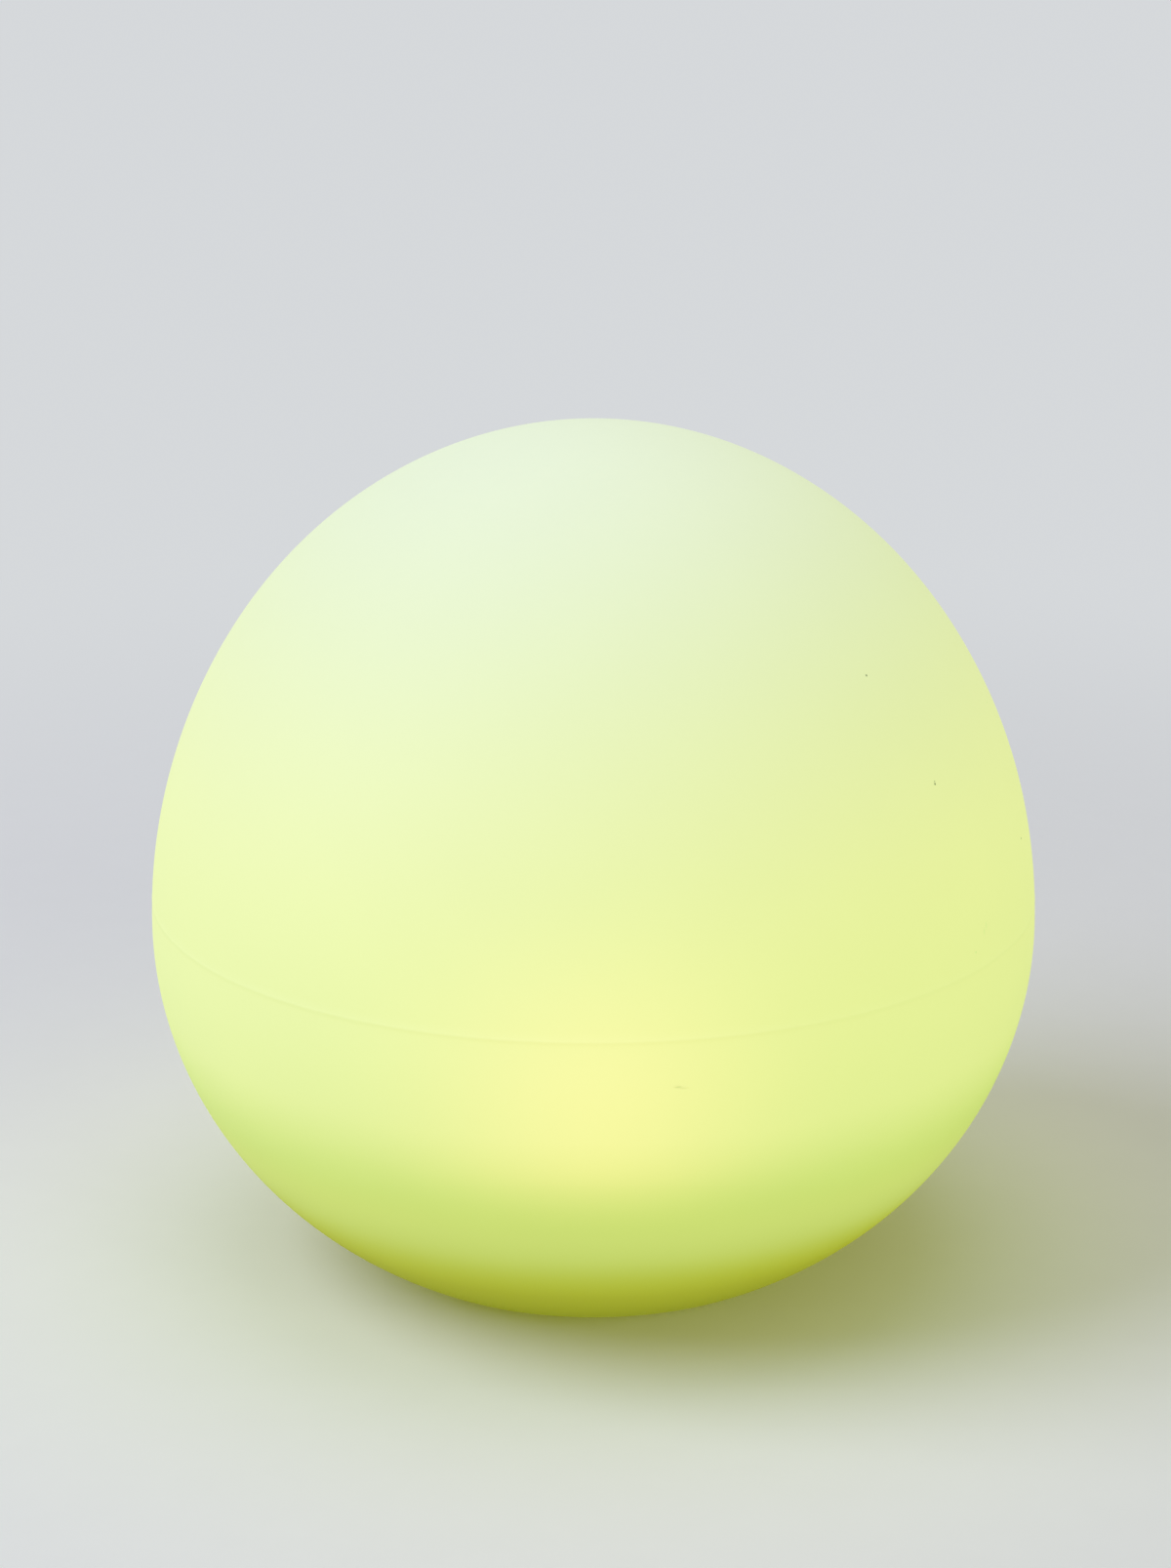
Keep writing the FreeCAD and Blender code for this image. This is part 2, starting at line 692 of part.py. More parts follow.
def small_screws(seat, places, length=small_screw_bite):
    core = small_screw_radius - screw_squeeze
    return together([
        pan_screw(core, small_head_radius, small_head_height, seat, length, x, y) for x, y in places])


def battery_strap_screws():
    places = [(0, side * strap_post_offset) for side in (-1, 1)]
    return small_screws(strap_post_top + strap_thickness, places)


def battery_lead(side):
    """A lead from a nickel strip up to the control board, side 1 or -1 in X."""
    x = side * (cell_length / 2 + tab_thickness + fit_clearance + battery_lead_radius)
    return rod(battery_lead_radius, cell_level + battery_lead_foot, control_bottom, x, 0)


# ---- Switch, port and lamp ----------------------------------------------------------------------
def io_board():
    """A curved circuit board over the disc, which carries the switch, the socket and the status lamp."""
    board = ring_segment(io_board_inner, tub_bore - board_rim_gap, io_board_bottom, io_board_top,
                         front, io_board_arc)
    for angle in io_screw_angles:
        board = board.cut(rod(small_screw_radius + screw_play, io_board_bottom, io_board_top,
                              *polar(io_circle, angle)))
    return board


def io_board_screws():
    return small_screws(io_board_top, [polar(io_circle, a) for a in io_screw_angles])


def facing_middle(shape, angle):
    """Turns a shape made at X = io_circle on to its place at an angle about the axis."""
    shape.rotate(V(0, 0, 0), AXIS, angle)
    return shape


def tact_switch():
    """The switch's case, soldered under the board, with a guide for its plunger."""
    bottom = io_board_bottom - switch_height
    case = block((switch_side, switch_side, switch_height), io_circle, 0, bottom)
    hole_top = bottom + plunger_inside + 2 * button_travel
    hole = rod(plunger_radius + plunger_play, bottom, hole_top, io_circle, 0)
    return facing_middle(case.cut(hole), button_angle)


def switch_plunger():
    bottom = io_board_bottom - switch_height - plunger_reach
    top = bottom + plunger_reach + plunger_inside
    return rod(plunger_radius, bottom, top, *polar(io_circle, button_angle))


def power_button():
    """A round cap in the underside, with a flange that keeps it in and a stem that reaches the plunger."""
    x, y = polar(io_circle, button_angle)
    seat = disc_top + button_shoulder + turn_gap
    stem_top = io_board_bottom - switch_height - plunger_reach
    face = underside + button_recess
    cap = round_edges_at(rod(button_radius, face, seat, x, y), face, button_rounding)
    cap = cap.cut(tube(button_radius, button_ring_middle() - button_ring_radius - fit_clearance,
                       button_ring_level() - button_ring_radius - fit_clearance,
                       button_ring_level() + button_ring_radius + fit_clearance, x, y))
    cap = cap.fuse(rod(button_radius + button_flange, seat, seat + button_flange_height, x, y))
    return cap.fuse(rod(button_stem_radius, seat, stem_top, x, y))


def button_ring_middle():
    """Radius of the sealing ring's middle line, which leaves the ring just clear of the bore."""
    return button_radius + button_play - button_ring_gap - button_ring_radius


def button_ring_level():
    return disc_top - button_ring_radius


def button_seal():
    """A sealing ring round the button's cap, which slides with it."""
    x, y = polar(io_circle, button_angle)
    return Part.makeTorus(button_ring_middle(), button_ring_radius, V(x, y, button_ring_level()))


def charge_socket():
    """An upright socket for a round charging plug, its mouth down on the disc."""
    bottom = disc_top
    case = block((socket_side, socket_side, io_board_bottom - bottom), io_circle, 0, bottom)
    case = case.cut(rod(socket_bore, bottom, bottom + socket_depth, io_circle, 0))
    return facing_middle(case, port_angle)


def socket_pin():
    """The socket's centre contact."""
    tip = disc_top + socket_pin_recess
    pin = rod(socket_pin_radius, tip, disc_top + socket_depth, *polar(io_circle, port_angle))
    return round_edges_at(pin, tip, socket_pin_rounding)


def port_plug():
    """A soft plug over the port: a cap with a stub, a pull tab, and a strap that bends at its anchor."""
    reach = strap_length()
    bottom, strap_top = underside, underside + hinge_thickness
    cap_top = underside + plug_cap_thickness
    plug = rod(plug_cap_radius, bottom, cap_top, reach)
    stub_top = cap_top + plug_stub_height
    plug = plug.fuse(cone(plug_stub_radius, plug_stub_radius - plug_stub_taper, cap_top, stub_top, reach))
    bend = hinge_place()
    length = reach + plug_cap_radius + tab_reach - plug_play - bend
    strap = Part.makeBox(length, 2 * strap_half_width, hinge_thickness, V(bend, -strap_half_width, bottom))
    roll = Part.makeCylinder(hinge_thickness / 2, 2 * strap_half_width,
                             V(bend, -strap_half_width, (bottom + strap_top) / 2), V(0, 1, 0))
    return port_frame(plug.fuse(strap).fuse(roll)).removeSplitter()


def hinge_place():
    """Where the plug's strap bends, from the anchor's middle."""
    return anchor_head_radius + hinge_gap + hinge_thickness / 2


def plug_anchor():
    """The button-headed stud that keeps the plug's strap on the disc."""
    head_top = underside + plug_cap_thickness + plug_seat_gap
    bulb = anchor_stem_radius + anchor_bulb
    anchor = rod(anchor_head_radius, underside, head_top)
    anchor = anchor.fuse(rod(anchor_stem_radius, head_top, disc_top))
    anchor = anchor.fuse(cone(bulb, anchor_tip_radius, disc_top, disc_top + anchor_bulb_height))
    return port_frame(anchor)


def status_led():
    """The charging lamp, soldered under the board over its light pipe."""
    lamp = block(status_led_size, io_circle, 0, io_board_bottom - status_led_size[2])
    return facing_middle(lamp, lamp_angle)


def light_pipe():
    """A clear rod that carries the charging lamp's light down to the underside."""
    x, y = polar(io_circle, lamp_angle)
    pipe = rod(lamp_pipe_radius, underside, io_board_bottom - status_led_size[2] - turn_gap, x, y)
    return pipe.fuse(rod(lamp_pipe_radius + lamp_collar, disc_top, disc_top + lamp_collar_height, x, y))


# ---- Control board ------------------------------------------------------------------------------
def control_board():
    """A round circuit board on the pillars' shoulders and two posts."""
    board = rod(tub_bore - board_rim_gap, control_bottom, control_top)
    for angle in pillar_angles:
        x, y = polar(pillar_circle, angle)
        board = board.cut(rod(pin_radius + turn_gap, control_bottom, control_top, x, y))
    for angle in board_post_angles:
        board = board.cut(rod(small_screw_radius + screw_play, control_bottom, control_top,
                              *polar(board_post_circle, angle)))
    return board


def control_board_screws():
    return small_screws(control_top, [polar(board_post_circle, a) for a in board_post_angles])


def capacitors():
    """Two upright cans that hang under the board."""
    x, y = capacitor_offset, board_post_circle - capacitor_inset
    cans = []
    for side in (-1, 1):
        low = control_bottom - capacitor_height
        can = rod(capacitor_radius, low, control_bottom, side * x, y)
        cans.append(round_edges_at(can, low, capacitor_rounding))
    return together(cans)


def inductor():
    """A square-footed power inductor with a round core, under the board."""
    length, width, height = inductor_size
    x, y = 0.0, inductor_inset - io_board_inner
    foot_bottom = control_bottom - inductor_foot
    foot = block((length, width, inductor_foot), x, y, foot_bottom)
    return foot.fuse(rod(inductor_core_radius, control_bottom - height, foot_bottom, x, y))


def gull_chip(size, x, y, bottom, pins):
    """A flat chip with a row of pins along each long side."""
    length, width, height = size
    chip = block((length, width, height - pin_lift), x, y, bottom + pin_lift)
    pitch = length / pins
    for k in range(pins):
        place = x + pitch * (k - (pins - 1) / 2)
        pin = (pin_width, width + 2 * pin_reach, pin_lift + pin_thickness)
        chip = chip.fuse(block(pin, place, y, bottom))
    return chip


def control_chip():
    return gull_chip(chip_size, *chip_place, control_top, chip_pins)


def led_drivers():
    """Three power transistors, one for each colour."""
    x, y = driver_place
    rows = [y + k * driver_pitch for k in range(driver_count)]
    return together([gull_chip(driver_size, x, row, control_top, driver_pins) for row in rows])


def io_plug_place():
    """Y of the middle of the curved board's width, at the front."""
    return -(io_board_inner + tub_bore - board_rim_gap) / 2


def io_plugs():
    """Lead housings between the two boards: one on the curved board, one under the control board."""
    levels = (io_board_top, control_bottom - plug_housing[2])
    return together([block(plug_housing, 0, io_plug_place(), level) for level in levels])


def lead_places(count):
    return [lead_pitch * (k - (count - 1) / 2) for k in range(count)]


def io_leads():
    """Leads between the two boards' housings."""
    low, high = io_board_top + plug_housing[2], control_bottom - plug_housing[2]
    return together([rod(lead_radius, low, high, x, io_plug_place()) for x in lead_places(io_lead_count)])


def led_plug():
    """Lead housing on the control board, under the grommet."""
    return block(plug_housing, 0, led_lead_place, control_top)


def led_leads():
    """Leads up through the grommet and over on to the LED board."""
    low = control_top + plug_housing[2]
    level = led_board_top + lead_radius + fit_clearance
    leads = []
    for x in lead_places(led_lead_count):
        up = V(x, led_lead_place, level - led_lead_bend)
        over = V(x, led_lead_place + led_lead_bend, level)
        lean = led_lead_bend * (1 - math.sqrt(0.5))
        middle = V(x, led_lead_place + lean, level - lean)
        path = Part.Wire([
            Part.LineSegment(V(x, led_lead_place, low), up).toShape(),
            Part.Arc(up, middle, over).toShape(),
            Part.LineSegment(over, V(x, led_lead_place + led_lead_end, level)).toShape()])
        section = Part.Wire(Part.makeCircle(lead_radius, V(x, led_lead_place, low), AXIS))
        leads.append(path.makePipeShell([section], True, False))
    return together(leads)


# ---- Deck, LED board and clear cover ------------------------------------------------------------
def deck_gasket():
    """A thin ring on the tub's rim, under the deck."""
    return tube(tub_radius, tub_bore, tub_top, deck_bottom)


def lead_slot(bottom, top, play=0.0):
    """The slot that the LED leads pass through, as a solid."""
    half = grommet_radius - lead_pitch
    width = 2 * (lead_pitch + play)
    slot = block((2 * half, width, top - bottom), 0, led_lead_place, bottom)
    for side in (-1, 1):
        slot = slot.fuse(rod(width / 2, bottom, top, side * half, led_lead_place))
    return slot


def deck_lid():
    """The tub's lid: a deck with a raised rim, a spigot, screw bosses and the slot for the leads."""
    deck = rod(tub_radius, deck_bottom, deck_top)
    deck = deck.fuse(tube(tub_radius, tub_radius - deck_rim_wall, deck_top, deck_top + deck_rim_height))
    spigot_radius = tub_bore - spigot_gap
    spigot_low = deck_bottom - spigot_depth
    deck = deck.fuse(tube(spigot_radius, spigot_radius - spigot_wall, spigot_low, deck_bottom))
    pilot_bottom = deck_top - led_screw_bite - pilot_floor
    for angle in spread(led_screw_count, led_screw_turn):
        x, y = polar(led_screw_circle, angle)
        deck = deck.fuse(rod(post_radius, deck_bottom - deck_boss_depth, deck_bottom, x, y))
        deck = deck.cut(rod(small_screw_radius - fit_clearance, pilot_bottom, deck_top, x, y))
    for angle in pillar_angles:
        x, y = polar(pillar_circle, angle)
        deck = deck.cut(rod(pin_radius + spigot_gap, spigot_low, deck_bottom, x, y))
        deck = deck.cut(rod(deck_screw_radius + screw_play, spigot_low, deck_top, x, y))
    return deck.cut(lead_slot(deck_bottom, deck_top)).removeSplitter()


def lead_grommet():
    """A soft sleeve in the deck's slot, with a flange under the deck and a bore for each lead."""
    flange_low = deck_bottom - grommet_flange_thickness
    sleeve = lead_slot(deck_bottom, deck_top, -fit_clearance)
    sleeve = sleeve.fuse(lead_slot(flange_low, deck_bottom, grommet_flange))
    for x in lead_places(led_lead_count):
        sleeve = sleeve.cut(rod(lead_radius + fit_clearance, flange_low, deck_top, x, led_lead_place))
    return sleeve


def board_outline(bottom, top):
    """A round plate under the clear cover, with its screw holes and the slot for the leads."""
    plate = rod(led_board_radius, bottom, top)
    for angle in spread(led_screw_count, led_screw_turn):
        x, y = polar(led_screw_circle, angle)
        plate = plate.cut(rod(small_screw_radius + screw_play, bottom, top, x, y))
    return plate.cut(lead_slot(bottom, top))


def thermal_pad():
    return board_outline(deck_top, led_board_bottom)


def led_board():
    return board_outline(led_board_bottom, led_board_top)


def led_board_screws():
    length = led_board_top - deck_top + led_screw_bite
    places = [polar(led_screw_circle, a) for a in spread(led_screw_count, led_screw_turn)]
    return small_screws(led_board_top, places, length)


def led_chip(circle, angle):
    """A square LED with a shallow round cup in its top."""
    top = led_board_top + led_height
    chip = block((led_side, led_side, led_height), circle, 0, led_board_top)
    cup = cone(led_cup_radius - led_cup_taper, led_cup_radius, top - led_cup_depth, top, circle)
    chip = chip.cut(cup)
    chip.rotate(V(0, 0, 0), AXIS, angle)
    return chip


def led_chips():
    """The outer and the inner ring of LEDs."""
    outer = [led_chip(outer_led_circle, a) for a in spread(outer_led_count, outer_led_turn)]
    inner = [led_chip(inner_led_circle, a) for a in inner_led_angles]
    return together(outer + inner)


def remote_receiver():
    """The receiver for the remote control, at the middle of the LED board, with its round window up."""
    case = block(receiver_size, 0, 0, led_board_top)
    return case.fuse(Part.makeSphere(receiver_window_radius, V(0, 0, led_board_top + receiver_size[2])))


def cover_seal():
    """A flat ring between the deck and the clear cover's flange."""
    seal = tube(cover_rim_radius, cover_rim_radius - cover_seal_width, deck_top, cover_bottom)
    for angle in pillar_angles:
        x, y = polar(pillar_circle, angle)
        seal = seal.cut(rod(deck_screw_radius + screw_play, deck_top, cover_bottom, x, y))
    return seal


def led_cover():
    """A clear low dome over the LEDs, with a flange that the deck screws hold."""
    cap_radius = (cover_radius ** 2 + cover_rise ** 2) / (2 * cover_rise)
    centre = cover_flange_top + cover_rise - cap_radius
    inner = cap_radius - cover_wall
    inner_foot = math.sqrt(inner ** 2 - (cover_flange_top - centre) ** 2)
    lean = math.asin(cover_radius / cap_radius) / 2
    inner_lean = math.asin(inner_foot / inner) / 2
    outer_mid = V(cap_radius * math.sin(lean), 0, centre + cap_radius * math.cos(lean))
    inner_mid = V(inner * math.sin(inner_lean), 0, centre + inner * math.cos(inner_lean))
    top, under = cover_flange_top + cover_rise, cover_flange_top + cover_rise - cover_wall
    edges = [
        Part.Arc(V(0, 0, top), outer_mid, V(cover_radius, 0, cover_flange_top)).toShape(),
        line((cover_radius, cover_flange_top), (cover_rim_radius, cover_flange_top)),
        line((cover_rim_radius, cover_flange_top), (cover_rim_radius, cover_bottom)),
        line((cover_rim_radius, cover_bottom), (inner_foot, cover_bottom)),
        line((inner_foot, cover_bottom), (inner_foot, cover_flange_top)),
        Part.Arc(V(inner_foot, 0, cover_flange_top), inner_mid, V(0, 0, under)).toShape(),
        line((0, under), (0, top))]
    cover = Part.Face(Part.Wire(Part.__sortEdges__(edges))).revolve(V(0, 0, 0), AXIS, 360)
    for angle in pillar_angles:
        cover = cover.cut(rod(deck_screw_radius + screw_play, cover_bottom, cover_flange_top,
                              *polar(pillar_circle, angle)))
    return cover


def deck_screws():
    """Four screws through cover, seal, deck and gasket into the pillars."""
    length = cover_flange_top - tub_top + deck_screw_reach
    core = deck_screw_radius - screw_squeeze
    return together([
        pan_screw(core, deck_head_radius, deck_head_height, cover_flange_top, length,
                  *polar(pillar_circle, angle)) for angle in pillar_angles])


# ---- Build --------------------------------------------------------------------------------------
MADE = {
    "globe_shell": globe_shell, "shell_inserts": shell_inserts, "lock_ring": lock_ring,
    "lock_ring_gasket": lock_ring_gasket, "lock_ring_screws": lock_ring_screws,
    "base_tub": base_tub, "base_o_ring": base_o_ring, "rubber_feet": rubber_feet,
    "battery_cell": battery_cell, "battery_tabs": battery_tabs, "battery_strap": battery_strap,
    "battery_strap_screws": battery_strap_screws,
    "battery_lead_positive": lambda: battery_lead(1), "battery_lead_negative": lambda: battery_lead(-1),
    "io_board": io_board, "io_board_screws": io_board_screws, "tact_switch": tact_switch,
    "switch_plunger": switch_plunger, "power_button": power_button, "button_seal": button_seal,
    "charge_socket": charge_socket, "socket_pin": socket_pin, "port_plug": port_plug,
    "plug_anchor": plug_anchor, "status_led": status_led, "light_pipe": light_pipe,
    "control_board": control_board, "control_board_screws": control_board_screws,
    "capacitors": capacitors, "inductor": inductor, "control_chip": control_chip,
    "led_drivers": led_drivers, "io_plugs": io_plugs, "io_leads": io_leads, "led_plug": led_plug,
    "led_leads": led_leads, "deck_gasket": deck_gasket, "deck_lid": deck_lid,
    "lead_grommet": lead_grommet, "thermal_pad": thermal_pad, "led_board": led_board,
    "led_board_screws": led_board_screws, "led_chips": led_chips, "remote_receiver": remote_receiver,
    "cover_seal": cover_seal, "led_cover": led_cover, "deck_screws": deck_screws,
}

os.makedirs("parts", exist_ok=True)
for name, make in MADE.items():
    shape = make()
    if not shape.isValid() or shape.Volume <= 0:
        raise ValueError("bad solid: " + name)
    shape.exportStep("parts/" + name + ".step")
    print(name, "solids", len(shape.Solids), "volume", round(shape.Volume, 1))
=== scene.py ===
# %% [markdown]
# # A garden globe light, dressed for a studio picture
#
# The light is an egg-shaped globe of milky plastic that glows from within. A light module sits in its flat
# underside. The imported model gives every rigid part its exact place, in metres, with +Z up and the front
# towards -Y. This lesson adds what a model of solids can't have: the camera and lamps, a finely meshed skin
# for the globe with the faint waves and the parting line of its mould, and a finish for each material.

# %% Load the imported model
import bpy
import json
import math
import numpy as np
from mathutils import Matrix, Vector


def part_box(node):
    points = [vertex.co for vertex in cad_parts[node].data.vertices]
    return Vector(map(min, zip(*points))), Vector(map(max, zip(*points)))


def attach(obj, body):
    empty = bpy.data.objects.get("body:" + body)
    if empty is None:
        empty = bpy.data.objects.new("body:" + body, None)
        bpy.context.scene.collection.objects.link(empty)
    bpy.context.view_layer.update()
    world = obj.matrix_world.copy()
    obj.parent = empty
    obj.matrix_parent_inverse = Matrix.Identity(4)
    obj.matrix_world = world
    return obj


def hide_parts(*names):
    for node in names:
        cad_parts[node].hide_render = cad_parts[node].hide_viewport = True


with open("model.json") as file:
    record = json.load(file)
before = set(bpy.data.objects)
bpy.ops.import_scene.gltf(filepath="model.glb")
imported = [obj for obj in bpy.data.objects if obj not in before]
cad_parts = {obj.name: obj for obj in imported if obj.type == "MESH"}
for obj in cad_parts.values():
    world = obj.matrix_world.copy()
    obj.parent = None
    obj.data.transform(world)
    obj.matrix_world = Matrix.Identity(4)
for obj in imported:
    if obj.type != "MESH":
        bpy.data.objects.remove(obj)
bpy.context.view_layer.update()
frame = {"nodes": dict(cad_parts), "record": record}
nodes = frame["nodes"]

# %% [markdown]
# ## Sizes
#
# The skin follows the same section as the solid globe: two halves of ovals that share their widest level,
# a flat underside and a stepped opening. Its measures are written here once, in millimetres, and turned
# into metres where a mesh is made. The crown and the widest radius can be read back from the model, which
# is a good first test that both agree. The model's parting line stands out more than the skin's, and that
# adds 0.07 mm to its radius.

# %% The globe's measures
MM = 0.001
side = 125.0                # radius at the widest level
rise = 140.5                # from the widest level up to the crown
drop = 112.5                # vertical half-axis of the lower oval
wall = 2.4                  # thickness of the moulding
underside = 2.0             # height of the flat underside, which the feet hold off the ground
recess = 55.5               # radius of the recess that the module sits in
opening = 48.0              # radius of the hole in the land, the flat ring over the recess
land_bottom, land_top = 9.3, 12.3
land_outer = 58.5           # radius at which the land ends, inside the globe
gutter = 6.0                # height of the inner floor beside the land
blend = 12.0                # radius where the bowl turns into the underside
edge = 0.5                  # radius of the edge between the underside and the recess
base_ring = 6.861           # from the recess to where the lower oval meets the underside
rim = recess + base_ring
widest = underside + drop * math.sqrt(1.0 - (rim / side) ** 2)
crown = widest + rise
seam_rise = 8.5             # the mould's parting line lies this far above the widest level
seam_half = 0.6             # half its width
seam_proud = 0.06           # how far it stands out
seam = widest + seam_rise
high_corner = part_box("globe_shell")[1]
print("crown at %.2f mm and widest radius %.2f mm; the model has %.2f mm and %.2f mm"
      % (crown, side, high_corner[2] / MM, high_corner[0] / MM))

# %% [markdown]
# ## Camera
#
# The picture was taken a little over a metre away with a long lens, looking down at about 18 degrees. The
# camera's place was worked out from the outline: the widest row, the crown and the curve of the parting
# line fix the angle, and the distance follows from how much the lower half draws in. The camera looks past
# the globe's middle, which puts the globe low in a tall frame without any lens shift.

# %% Place the camera
tilt = math.radians(17.64)
distance = 1.125            # along the view, to the globe's axis
aimed_height = 0.0995       # where the view would meet the axis without the two moves below
moved_left, moved_up = 0.00226, 0.03623
focal_length, sensor_width = 90.67, 36.0    # in millimetres
ahead = Vector((0.0, math.cos(tilt), -math.sin(tilt)))
upward = Vector((0.0, math.sin(tilt), math.cos(tilt)))
rightward = Vector((1.0, 0.0, 0.0))
eye = Vector((0.0, 0.0, aimed_height)) - ahead * distance - rightward * moved_left + upward * moved_up
camera_data = bpy.data.cameras.new("camera")
camera_data.lens = focal_length
camera_data.sensor_width = sensor_width
camera_data.sensor_fit = "AUTO"
camera_data.clip_start, camera_data.clip_end = 0.05, 60.0
camera = bpy.data.objects.new("camera", camera_data)
camera.matrix_world = Matrix((
    (rightward.x, upward.x, -ahead.x, eye.x),
    (rightward.y, upward.y, -ahead.y, eye.y),
    (rightward.z, upward.z, -ahead.z, eye.z),
    (0.0, 0.0, 0.0, 1.0)))
bpy.context.scene.collection.objects.link(camera)
bpy.context.scene.camera = camera
bpy.context.scene.view_settings.view_transform = "Standard"
print("camera at", [round(x, 3) for x in eye])

# %% [markdown]
# ## Helpers for node trees
#
# A material is a graph of nodes, and a few helpers keep each one readable. `add` places a node and sets its
# own fields and its input values; where a value is another node's output, it makes a link instead. The
# others are the steps that come back most: arithmetic, a mix of two colours, a value moved to another span,
# and a noise. A noise spends nearly all its time between 0.3 and 0.7, so `varied` moves that span to the
# one that is wanted.

# %% Helpers that place and join nodes
NOISE_LOW, NOISE_HIGH = 0.3, 0.7


def add(tree, kind, values=(), **fields):
    """A new node of a kind; fields are its own settings, values its inputs by name or number."""
    made = tree.nodes.new(kind)
    for key, value in fields.items():
        setattr(made, key, value)
    for key, value in dict(values).items():
        join(tree, value, made.inputs[key])
    return made


def join(tree, value, socket):
    """Hands a socket a value of its own, or a link where the value is another node's output."""
    if isinstance(value, bpy.types.NodeSocket):
        tree.links.new(value, socket)
    else:
        socket.default_value = value


def maths(tree, operation, first, second=0.0, third=0.0, clamp=False):
    """One step of arithmetic on numbers or outputs; returns its output."""
    made = add(tree, "ShaderNodeMath", {0: first, 1: second, 2: third}, operation=operation)
    made.use_clamp = clamp
    return made.outputs[0]


def product(tree, first, *others):
    """Numbers or outputs, multiplied together."""
    for other in others:
        first = maths(tree, "MULTIPLY", first, other)
    return first


def summed(tree, first, second):
    """Two vectors or colours, added."""
    return add(tree, "ShaderNodeVectorMath", {0: first, 1: second}, operation="ADD").outputs["Vector"]


def scaled(tree, vector, factor):
    """A vector or colour times a number."""
    made = add(tree, "ShaderNodeVectorMath", {0: vector, "Scale": factor}, operation="SCALE")
    return made.outputs["Vector"]


def length(tree, vector):
    """How long a vector is."""
    return add(tree, "ShaderNodeVectorMath", {0: vector}, operation="LENGTH").outputs["Value"]


def mixed(tree, share, first, second):
    """first and second colours mixed by share, 0 to 1."""
    made = add(tree, "ShaderNodeMix", {"Factor": share}, data_type="RGBA")
    join(tree, first, made.inputs[6])
    join(tree, second, made.inputs[7])
    return made.outputs[2]


def ramped(tree, value, low, high, to_low=0.0, to_high=1.0, smooth=False):
    """value moved from the span low to high on to another span, and kept inside it."""
    made = add(tree, "ShaderNodeMapRange", {
        "Value": value, "From Min": low, "From Max": high, "To Min": to_low, "To Max": to_high})
    made.interpolation_type = "SMOOTHSTEP" if smooth else "LINEAR"
    made.clamp = True
    return made.outputs["Result"]


def varied(tree, value, to_low, to_high):
    """A noise's usual span moved on to another one."""
    return ramped(tree, value, NOISE_LOW, NOISE_HIGH, to_low, to_high)


def object_place(tree):
    """Where a point lies on its piece, in metres."""
    return add(tree, "ShaderNodeTexCoord").outputs["Object"]


def noise(tree, place, scale, detail, roughness=0.5):
    """A cloudy value about 0.5; scale is how many waves fit in a metre."""
    return add(tree, "ShaderNodeTexNoise", {
        "Vector": place, "Scale": scale, "Detail": detail, "Roughness": roughness}).outputs["Fac"]


def colour(red, green, blue):
    """An opaque colour."""
    return (red, green, blue, 1.0)


print("helpers ready")

# %% [markdown]
# ## Effects that several finishes share
#
# Moulded plastic, rubber and metal all show the same few effects at different strengths: a fine grain, slow
# changes of tone, thin scuffs, worn edges that also carry a painted highlight, and a little dust. Each effect
# is a node group with named inputs, built once. A group puts out only masks and heights, so each material
# decides what to do with them.

# %% A group for grain and slow changes of tone
def new_group(name, inputs, outputs, kind="NodeSocketFloat"):
    """An empty shader node group with the sockets of its two ends. Inputs are (name, default) pairs of
    numbers; outputs are names, all of one kind."""
    group = bpy.data.node_groups.new(name, "ShaderNodeTree")
    for label, default in inputs:
        socket = group.interface.new_socket(label, in_out="INPUT", socket_type="NodeSocketFloat")
        socket.default_value = default
    for label in outputs:
        group.interface.new_socket(label, in_out="OUTPUT", socket_type=kind)
    taken = group.nodes.new("NodeGroupInput").outputs if inputs else None
    return group, taken, group.nodes.new("NodeGroupOutput").inputs


grain_group, taken, given = new_group(
    "surface_grain", [("Grain Scale", 3000.0), ("Patch Scale", 25.0)], ["Grain", "Patches"])
place = object_place(grain_group)
slow = noise(grain_group, place, taken["Patch Scale"], 4.0, 0.55)
join(grain_group, noise(grain_group, place, taken["Grain Scale"], 3.0, 0.6), given["Grain"])
join(grain_group, ramped(grain_group, slow, 0.32, 0.68), given["Patches"])
print("group", grain_group.name)

# %% A group for thin scuffs: the borders of bent cells, kept only where a slow noise is high
scuff_bend = 0.02           # how far a noise moves the cells, in metres
scuff_width = 0.035         # of a line, as a share of a cell
scuff_group, taken, given = new_group("thin_scuffs", [("Scale", 60.0), ("Amount", 0.3)], ["Scuffs"])
place = object_place(scuff_group)
swirl = add(scuff_group, "ShaderNodeTexNoise", {"Vector": place, "Scale": 35.0, "Detail": 2.0})
bent = summed(scuff_group, place, scaled(scuff_group, swirl.outputs["Color"], scuff_bend))
cells = add(scuff_group, "ShaderNodeTexVoronoi", {"Vector": bent, "Scale": taken["Scale"]},
            feature="DISTANCE_TO_EDGE")
line = ramped(scuff_group, cells.outputs["Distance"], 0.0, scuff_width, 1.0, 0.0)
kept = ramped(scuff_group, noise(scuff_group, place, 48.0, 2.0), 0.52, 0.66)
join(scuff_group, product(scuff_group, line, kept, taken["Amount"]), given["Scuffs"])
print("group", scuff_group.name)

